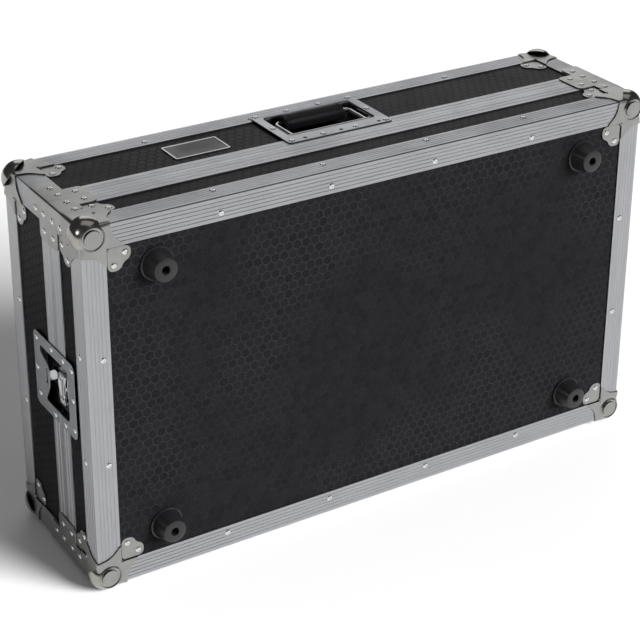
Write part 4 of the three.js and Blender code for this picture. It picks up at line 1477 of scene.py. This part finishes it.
    def grip(self) -> None:
        """Makes the rubber sleeve, with soft ends and a moulded groove near each."""
        low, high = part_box("handle_grip")
        piece = Piece("handle_grip_sleeve", "handle", "grip_rubber", (GRIP_RUBBER,), ("handle_grip",))
        radius = (high.z - low.z) / 2
        half = (high.x - low.x) / 2
        bore = self.wire / 2 + self.steel / 4
        soft = radius / 4
        floor = radius - self.grip_groove
        end = [(bore, half), (radius - soft, half), (radius - soft * 0.3, half - soft * 0.3),
               (radius, half - soft), (radius, half - soft * 2), (floor, half - soft * 2.2),
               (floor, half - soft * 2.6), (radius, half - soft * 2.8)]
        profile = end + [(reach, -along) for reach, along in reversed(end)] + [(bore, half)]
        faces = lathe(piece.bm, profile, self.grip_sides)
        carry(piece.bm, faces, basis(AXES[1], AXES[2], AXES[0], (low + high) / 2))
        piece.finish()

    def rivet_spots(self) -> Spots:
        """Where the dish's rivets sit and which way they look."""
        low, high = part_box("handle_dish")
        top = self.case.high.z + self.proud
        rows = (low.y + self.rivet_from_edge, high.y - self.rivet_from_edge)
        places = [(x, y) for y in rows for x in self.rivet_columns]
        middle = (low.y + high.y) / 2
        places += [(low.x + self.border_end / 2, middle), (high.x - self.border_end / 2, middle)]
        return [(Vector((x, y, top)), AXES[2]) for x, y in places]

    def build(self) -> None:
        """Makes the dish, the bail and the sleeve."""
        self.dish()
        self.bail()
        self.grip()


@dataclass
class NamePlate:
    """Bare name plate: a satin rim round a sunk dark field."""

    rim: float = 0.0022
    rounding: float = 0.003
    field_drop: float = 0.0005

    def build(self) -> None:
        """Makes the plate."""
        low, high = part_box("badge_plate")
        piece = Piece("badge_plate_bare", "lid", "badge_metal", (BADGE_RIM, BADGE_FIELD), ("badge_plate",))
        points = rectangle((low.x, high.x), (low.y, high.y), self.rounding)
        thicken(piece.bm, [outline(piece.bm, points, high.z)], high.z - low.z)
        face = max(piece.bm.faces, key=lambda item: item.calc_center_median().z)
        sunk(piece.bm, face, [(self.rim, 0.0), (self.field_drop / 2, -self.field_drop)])
        face.material_index = 1
        piece.finish()


@dataclass
class TwistLatch:
    """Recessed twist latch: a dish in two halves, a turning disc, its folding wing and a sliding claw.

    Its own lengths are [from the base face, from mid height, outwards from the side face].
    """

    case: CaseFrame
    side: Side
    steel: float = 0.0012
    proud: float = 0.0015
    gap: float = 0.00015
    dish_soft: float = 0.00025
    pocket_half: float = 0.035
    border_near: float = 0.019
    border_far: float = 0.014
    rounding: float = 0.008
    depth: float = 0.00925
    floor_bend: float = 0.0022
    catch_in_lid: float = 0.02575
    catch_half: float = 0.012
    slot_half: float = 0.010
    slot_length: float = 0.006
    slot_from_edge: float = 0.004
    disc_soft: float = 0.0002
    disc_steel: float = 0.0022
    disc_level: float = -0.004
    disc_stub: float = 0.005
    disc_rim_share: float = 0.3
    disc_sides: int = 48
    lug_offset: float = 0.010
    lug_steel: float = 0.0024
    lug_reach: float = 0.0016
    lug_soft_share: float = 0.9
    lug_room_share: float = 1.6
    wing_soft: float = 0.0004
    wing_steel: float = 0.0026
    wing_barrel: float = 0.0013
    wing_waist_share: float = 0.9
    rib_rise: float = 0.0007
    rib_shares: Pair = (0.75, 0.55)
    ring_shares: Pair = (0.8, 0.76)
    claw_soft: float = 0.0003
    claw_steel: float = 0.002
    claw_slot_half: float = 0.0053
    claw_travel: float = 0.010
    finger_half: float = 0.007
    rivet_places: tuple[Pair, ...] = (
        (0.1435, 0.0415), (0.1005, 0.0440), (0.0675, 0.0440), (0.0435, 0.0420), (0.0435, 0.0025),
        (0.0435, -0.0380), (0.0700, -0.0440), (0.0990, -0.0440), (0.1410, -0.0340), (0.1455, 0.0005),
    )

    @property
    def tag(self) -> str:
        """The side's name."""
        return self.side.word

    @property
    def stand(self) -> Matrix:
        """Takes the latch's own lengths to the frame."""
        origin = Vector((self.case.end_x(self.side), self.case.low.y, self.case.middle.z))
        return basis(AXES[1], AXES[2], AXES[0] * self.side.value, origin)

    @property
    def parting(self) -> float:
        """The parting line, from the base face."""
        return self.case.parting - self.case.low.y

    @property
    def ends(self) -> Pair:
        """The plate's two ends, from the base face."""
        return self.span_of(f"latch_dish_{self.tag}")[0], self.span_of(f"latch_catch_{self.tag}")[1]

    @property
    def pocket(self) -> Pair:
        """The pocket's two ends, from the base face."""
        return self.ends[0] + self.border_near, self.ends[1] - self.border_far

    @property
    def pivot(self) -> float:
        """The disc's centre, from the base face."""
        low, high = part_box(f"latch_rotor_{self.tag}")
        return (low.y + high.y) / 2 - self.case.low.y

    @property
    def hinge(self) -> float:
        """The wing's hinge line, from the base face."""
        return self.span_of(f"latch_wing_{self.tag}")[1] - self.wing_barrel

    def span_of(self, node: str) -> Pair:
        """Where a node starts and ends, from the base face."""
        low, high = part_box(node)
        return low.y - self.case.low.y, high.y - self.case.low.y

    def half_of(self, node: str) -> float:
        """Half of a node's height."""
        low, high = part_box(node)
        return (high.z - low.z) / 2

    def levels_of(self, node: str) -> Pair:
        """A node's inner and outer level, outwards from the side face."""
        edge = self.case.end_x(self.side)
        inner, outer = sorted(self.side.value * (point.x - edge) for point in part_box(node))
        return inner, outer

    def opening(self) -> list[OutlineCorner]:
        """Corners of the plate's opening, with the bulge of the catch."""
        near, far = self.pocket
        edge = self.parting + self.catch_in_lid
        run = far - edge
        half, catch, soft = self.pocket_half, self.catch_half, self.rounding
        return [
            (near, -half, soft), (edge + run * 0.5, -half, soft / 2),
            (edge + run * 0.12, -catch * 1.5, soft / 3), (edge, -catch, soft / 3), (edge, catch, soft / 3),
            (edge + run * 0.2, catch * 1.5, soft / 3), (edge + run * 0.9, half - soft, soft / 3),
            (edge + run * 0.9, half, soft / 4), (near, half, soft),
        ]

    def plate_sheet(self, bm: Shape) -> None:
        """Makes the whole plate as a flat sheet with its opening and slot."""
        half = self.half_of(f"latch_dish_{self.tag}")
        slot_start = self.parting + self.catch_in_lid + self.slot_from_edge
        slot_ends = (slot_start, slot_start + self.slot_length)
        slot = rectangle(slot_ends, (-self.slot_half, self.slot_half), self.slot_length / 4)
        for points in (rectangle(self.ends, (-half, half), self.rounding), self.opening(), slot):
            rim_of(bm, points, self.proud)
        fill_between(bm)

    def tub_sheet(self, bm: Shape) -> None:
        """Makes the whole pocket under the plate as a sheet."""
        half = self.pocket_half
        top = self.proud - self.steel
        face = outline(bm, rectangle(self.pocket, (-half, half), self.rounding), top)
        # The latch tub takes the darker zinc: painted shade in the pocket.
        face.material_index = 1
        sunk(bm, face, [(self.steel / 20, -(self.depth + top - self.floor_bend))])
        sunk(bm, face, quarter_steps(self.floor_bend, True))

    def dish_half(self, half: Half) -> None:
        """Makes one half of the dish, cut at the parting line."""
        node = f"latch_dish_{self.tag}" if half is Half.BASE else f"latch_catch_{self.tag}"
        piece = Piece(f"{node}_pressed", half.word, "zinc_plate", (ZINC, POCKET_PAINTED_SHADE_ZINC), (node,),
                      self.dish_soft)
        beyond = AXES[0] if half is Half.BASE else -AXES[0]
        for make in (self.plate_sheet, self.tub_sheet):
            sheet = bmesh.new()
            make(sheet)
            cut(sheet, AXES[0] * self.parting - beyond * self.gap, beyond)
            thicken(sheet, sheet.faces, self.steel)
            join(piece.bm, sheet)
        moved(piece.bm, self.stand)
        piece.finish()

    def chromed(self, node: str, ending: str, body: str, softened: float) -> Piece:
        """Starts a chromed piece on one of the latch's own bodies."""
        return Piece(f"{node}_{ending}", f"{body}_{self.tag}", "chrome_plate", (CHROME,), (node,), softened)

    def rotor(self) -> None:
        """Makes the turning disc: a rolled rim, a centre rivet and the wing's two lugs."""
        node = f"latch_rotor_{self.tag}"
        radius = self.half_of(node)
        inner, outer = self.levels_of(node)
        piece = self.chromed(node, "disc", "rotor", self.disc_soft)
        bm = piece.bm
        thick, top, stub = self.disc_steel, self.disc_level, self.disc_stub
        rim = thick * self.disc_rim_share
        profile = [
            (0.0, top + rim), (stub * 0.7, top + rim), (stub, top), (stub * 1.1, top - rim),
            (radius - 4 * rim, top - rim), (radius - 3 * rim, top), (radius - rim, top),
            (radius, top - rim), (radius, top - thick), (stub, top - thick), (stub, inner), (0.0, inner),
        ]
        faces = lathe(bm, profile, self.disc_sides)
        bmesh.ops.translate(bm, vec=(self.pivot, 0, 0), verts=verts_of(faces))
        for sign in (-1, 1):
            self.lug(bm, sign * self.lug_offset, top - thick / 2, outer)
        moved(bm, self.stand)
        piece.finish()

    def lug(self, bm: Shape, across: float, root: float, tip: float) -> None:
        """Makes one lug: a small cheek with a rounded tip."""
        reach = self.lug_reach
        soft = reach * self.lug_soft_share
        points = [(-reach, root, 0.0), (reach, root, 0.0), (reach, tip, soft), (-reach, tip, soft)]
        other = bmesh.new()
        thicken(other, [outline(other, points, self.lug_steel / 2)], self.lug_steel)
        moved(other, basis(AXES[0], AXES[2], -AXES[1], Vector((self.hinge, across, 0))))
        join(bm, other)

    def wing(self) -> None:
        """Makes the folding wing: a waisted plate with ribs, pressed rings and a hinge barrel."""
        node = f"latch_wing_{self.tag}"
        near, hinge = self.span_of(node)[0], self.hinge
        half = self.half_of(node)
        outer = self.levels_of(node)[1]
        soft = (hinge - near) / 4
        waist = near + soft * self.wing_waist_share
        piece = self.chromed(node, "plate", "wing", self.wing_soft)
        bm = piece.bm
        notch = self.lug_offset + self.lug_steel / 2 + self.gap * 2
        recess = hinge - self.lug_reach * self.lug_room_share
        points = [
            (hinge, -half, soft), (hinge, -notch, 0.0), (recess, -notch, 0.0), (recess, notch, 0.0),
            (hinge, notch, 0.0), (hinge, half, soft), (near, half, soft), (waist, half / 2, soft),
            (waist, -half / 2, soft), (near, -half, soft),
        ]
        thicken(bm, [outline(bm, points, outer)], self.wing_steel)
        middle = (hinge + near) / 2
        for sign in (-1, 1):
            self.rib(bm, middle + sign * soft, half * self.rib_shares[1], outer)
            place = Vector((middle, sign * half * self.ring_shares[1], outer))
            self.ring(bm, place, soft * self.ring_shares[0])
        thick = self.wing_barrel
        reach = notch - self.lug_steel - self.gap * 4
        barrel = lathe(bm, [(0.0, -reach), (thick, -reach), (thick, reach), (0.0, reach)],
                       self.disc_sides // 3)
        carry(bm, barrel, basis(AXES[2], AXES[0], AXES[1], Vector((hinge, 0, outer - thick))))
        moved(bm, self.stand)
        piece.finish()

    def rib(self, bm: Shape, along: float, half: float, top: float) -> None:
        """Makes a raised rib along the wing."""
        width = self.wing_barrel * self.rib_shares[0]
        points = rectangle((along - width, along + width), (-half, half), width * 0.9)
        thicken(bm, [outline(bm, points, top + self.rib_rise)], self.rib_rise * 1.5)

    def ring(self, bm: Shape, place: Vector, radius: float) -> None:
        """Makes the pressed ring near a wing's end."""
        rise = self.rib_rise
        profile = [(0.0, rise * 0.2), (radius * 0.5, rise * 0.2), (radius * 0.68, rise),
                   (radius * 0.85, rise), (radius, 0.0), (radius, -rise / 2), (0.0, -rise / 2)]
        faces = lathe(bm, profile, self.disc_sides // 2)
        bmesh.ops.translate(bm, vec=place, verts=verts_of(faces))

    def claw(self) -> None:
        """Makes the sliding claw with its slot and its turned-up finger."""
        node = f"latch_claw_{self.tag}"
        near, far = self.span_of(node)
        half = self.half_of(node)
        inner, outer = self.levels_of(node)
        piece = self.chromed(node, "slide", "claw", self.claw_soft)
        bm = piece.bm
        thick, slot, finger = self.claw_steel, self.claw_slot_half, self.finger_half
        slot_ends = (self.pivot - slot - self.claw_travel, self.pivot + slot)
        rim_of(bm, rectangle((near, far), (-half, half), thick), inner + thick)
        rim_of(bm, rectangle(slot_ends, (-slot, slot), thick * 2), inner + thick)
        fill_between(bm)
        thicken(bm, bm.faces, thick)
        tip = outline(bm, rectangle((far - thick * 2, far), (-finger, finger), thick / 3), outer)
        thicken(bm, [tip], outer - inner - thick / 2)
        moved(bm, self.stand)
        piece.finish()

    def rivet_spots(self, half: Half) -> Spots:
        """Where the rivets of one half of the dish sit and which way they look."""
        stand = self.stand
        outwards = stand.to_3x3() @ AXES[2]
        keep = [(a, b) for a, b in self.rivet_places if (a < self.parting) == (half is Half.BASE)]
        return [(stand @ Vector((a, b, self.proud)), outwards) for a, b in keep]

    def build(self) -> None:
        """Makes the latch."""
        self.dish_half(Half.BASE)
        self.dish_half(Half.LID)
        self.rotor()
        self.wing()
        self.claw()


@dataclass
class Lining:
    """The foam tray of the base, with its well for the instrument, and the foam pad of the lid."""

    rounding: float = 0.012
    soft: float = 0.004
    wall: float = 0.034
    floor: float = 0.0217
    sharp: float = math.radians(50)
    crease: float = math.radians(60)

    def block(self, half: Half) -> None:
        """Makes one half's block of foam."""
        node = f"{half.word}_foam"
        low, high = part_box(node)
        piece = Piece(f"{node}_cut", half.word, "lining_foam", (FOAM,), (node,), crease=self.crease)
        bm = piece.bm
        height = high.y - low.y
        face = outline(bm, rectangle((low.x, high.x), (low.z, high.z), self.rounding), 0.0)
        if half is Half.BASE:
            wall = self.wall
            ends, sides = (low.x + wall, high.x - wall), (low.z + wall, high.z - wall)
            well = outline(bm, rectangle(ends, sides, self.rounding), 0.0)
            bridge(bm, face, well)
            sunk(bm, well, [(self.soft / 10, self.floor - height)])
        rim = [edge for edge in bm.edges if edge.is_boundary]
        skirt = bmesh.ops.extrude_edge_only(bm, edges=rim)["geom"]
        foot = [item for item in skirt if isinstance(item, Vert)]
        bmesh.ops.translate(bm, vec=(0, 0, -height), verts=foot)
        bmesh.ops.holes_fill(bm, edges=[edge for edge in bm.edges if edge.is_boundary], sides=0)
        bmesh.ops.recalc_face_normals(bm, faces=bm.faces)
        joined = [edge for edge in bm.edges if edge.is_manifold]
        round_edges(bm, [edge for edge in joined if edge.calc_face_angle() > self.sharp], self.soft)
        open_y, inwards = (high.y, AXES[1]) if half is Half.BASE else (low.y, -AXES[1])
        moved(bm, basis(AXES[0], AXES[2], inwards, Vector((0, open_y, 0))))
        piece.finish()

    def build(self) -> None:
        """Makes both blocks."""
        for half in Half:
            self.block(half)


@dataclass(frozen=True)
class Softbox:
    """A rectangular light; its power is in watts."""

    name: str
    place: tuple[float, float, float]
    size: Pair
    power: float
    target: tuple[float, float, float] = (0.0, 0.0, 0.24)

    def hang(self) -> None:
        """Makes the light, turned to its target."""
        light = bpy.data.lights.new(self.name, "AREA")
        light.shape = "RECTANGLE"
        light.size, light.size_y = self.size
        light.energy = self.power
        lamp = placed(self.name, light)
        lamp.location = self.place
        looks = Vector(self.place) - Vector(self.target)
        lamp.rotation_euler = looks.to_track_quat("Z", "Y").to_euler()


@dataclass
class Studio:
    """Floor, soft light and the photograph's camera."""

    camera_place: tuple[float, float, float] = (-1.1304, -1.7800, 1.3251)
    azimuth: float = math.radians(-31.72)
    elevation: float = math.radians(24.64)
    roll: float = math.radians(0.24)
    lens: float = 102.84
    sensor: float = 36.0
    shift: float = -0.15
    farthest: float = 100.0
    floor_size: float = 16.0
    key_energy: float = 7.6
    key_angle: float = math.radians(32)
    key_from: tuple[float, float, float] = (0.50, -0.78, 0.42)
    softboxes: tuple[Softbox, ...] = (
        Softbox("back", (1.9, 3.1, 1.9), (3.0, 1.8), 18.0),
        Softbox("front", (2.2, -2.9, 1.7), (2.4, 1.4), 12.0),
        Softbox("above", (0.2, 0.2, 3.4), (3.0, 2.4), 10.0),
        Softbox("left_spot", (-2.5, -0.35, 1.45), (0.55, 0.55), 6.0, target=(-0.4, -0.1, 0.46)),
    )
    room_colour: Colour = grey(0.8)
    room_light: float = 0.075
    room_seen: float = 1.2

    def floor(self) -> None:
        """Makes the floor under the case."""
        bm = bmesh.new()
        bmesh.ops.create_grid(bm, x_segments=1, y_segments=1, size=self.floor_size / 2)
        mesh = mesh_of(bm, "studio_floor")
        mesh.materials.append(dressed(StudioFloor()))
        floor = placed("studio_floor", mesh)
        floor.location.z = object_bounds()[0][2]
        floor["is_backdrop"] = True

    def key(self) -> None:
        """Makes the soft key light, which metals don't mirror."""
        light = bpy.data.lights.new("key", "SUN")
        light.energy = self.key_energy
        light.angle = self.key_angle
        lamp = placed("key", light)
        lamp.rotation_euler = Vector(self.key_from).to_track_quat("Z", "Y").to_euler()
        lamp.visible_glossy = False

    def room(self) -> None:
        """Sets the room round the case: pale where it is seen, dark as a light."""
        world = bpy.data.worlds.new("studio_room")
        world.use_nodes = True
        room = world.node_tree.nodes["Background"]
        room.inputs["Color"].default_value = self.room_colour
        wires = Wiring(world.node_tree)
        seen = wires.add("ShaderNodeLightPath").outputs["Is Camera Ray"]
        strength = wires.spread(seen, (0.0, 1.0), (self.room_light, self.room_seen))
        wires.feed(room.inputs["Strength"], strength)
        bpy.context.scene.world = world
        bpy.context.scene.view_settings.view_transform = "Standard"

    def camera(self) -> None:
        """Places the camera at the photograph's angle."""
        settings = bpy.data.cameras.new("photo_camera")
        settings.lens = self.lens
        settings.sensor_width = self.sensor
        settings.shift_y = self.shift
        settings.clip_end = self.farthest
        level = math.cos(self.elevation)
        back = Vector((math.sin(self.azimuth) * level, -math.cos(self.azimuth) * level,
                       math.sin(self.elevation)))
        turn = (-back).to_track_quat("-Z", "Y").to_matrix() @ Matrix.Rotation(self.roll, 3, "Z")
        camera = placed("photo_camera", settings)
        camera.matrix_world = Matrix.Translation(self.camera_place) @ turn.to_4x4()
        bpy.context.scene.camera = camera

    def build(self) -> None:
        """Sets up the studio."""
        self.camera()
        self.floor()
        self.key()
        for softbox in self.softboxes:
            softbox.hang()
        self.room()


def main() -> None:
    """Builds the case's finer pieces in order."""
    logging.basicConfig(level=logging.INFO, format="%(message)s", force=True)
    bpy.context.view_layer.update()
    case = CaseFrame.read()
    Studio().build()
    Boards(case).dress()
    edge_rivets = EdgeRivets(case)
    handle = CarryHandle(case)
    latches = [TwistLatch(case, side) for side in Side]
    rivets = Rivets()
    for half in Half:
        spots: Spots = []
        for corner in corners(case, half):
            ball_corner = BallCorner(corner)
            brace = Brace(corner)
            ball_corner.build()
            brace.build()
            if half is Half.LID:
                CornerPost(corner).build()
            spots += ball_corner.rivet_spots() + brace.rivet_spots()
        rivets.group(f"{half.word}_corner_rivets", half.word, "nickel_plate", spots)
        rivets.group(f"{half.word}_edge_rivets", half.word, "nickel_plate", edge_rivets.spots(half))
        for latch in latches:
            rivets.group(f"{half.word}_latch_rivets_{latch.tag}", half.word, "zinc_plate",
                         latch.rivet_spots(half))
    Feet().build()
    handle.build()
    rivets.group("handle_rivets", "lid", "zinc_plate", handle.rivet_spots())
    NamePlate().build()
    for latch in latches:
        latch.build()
    Lining().build()


if __name__ == "__main__":
    main()
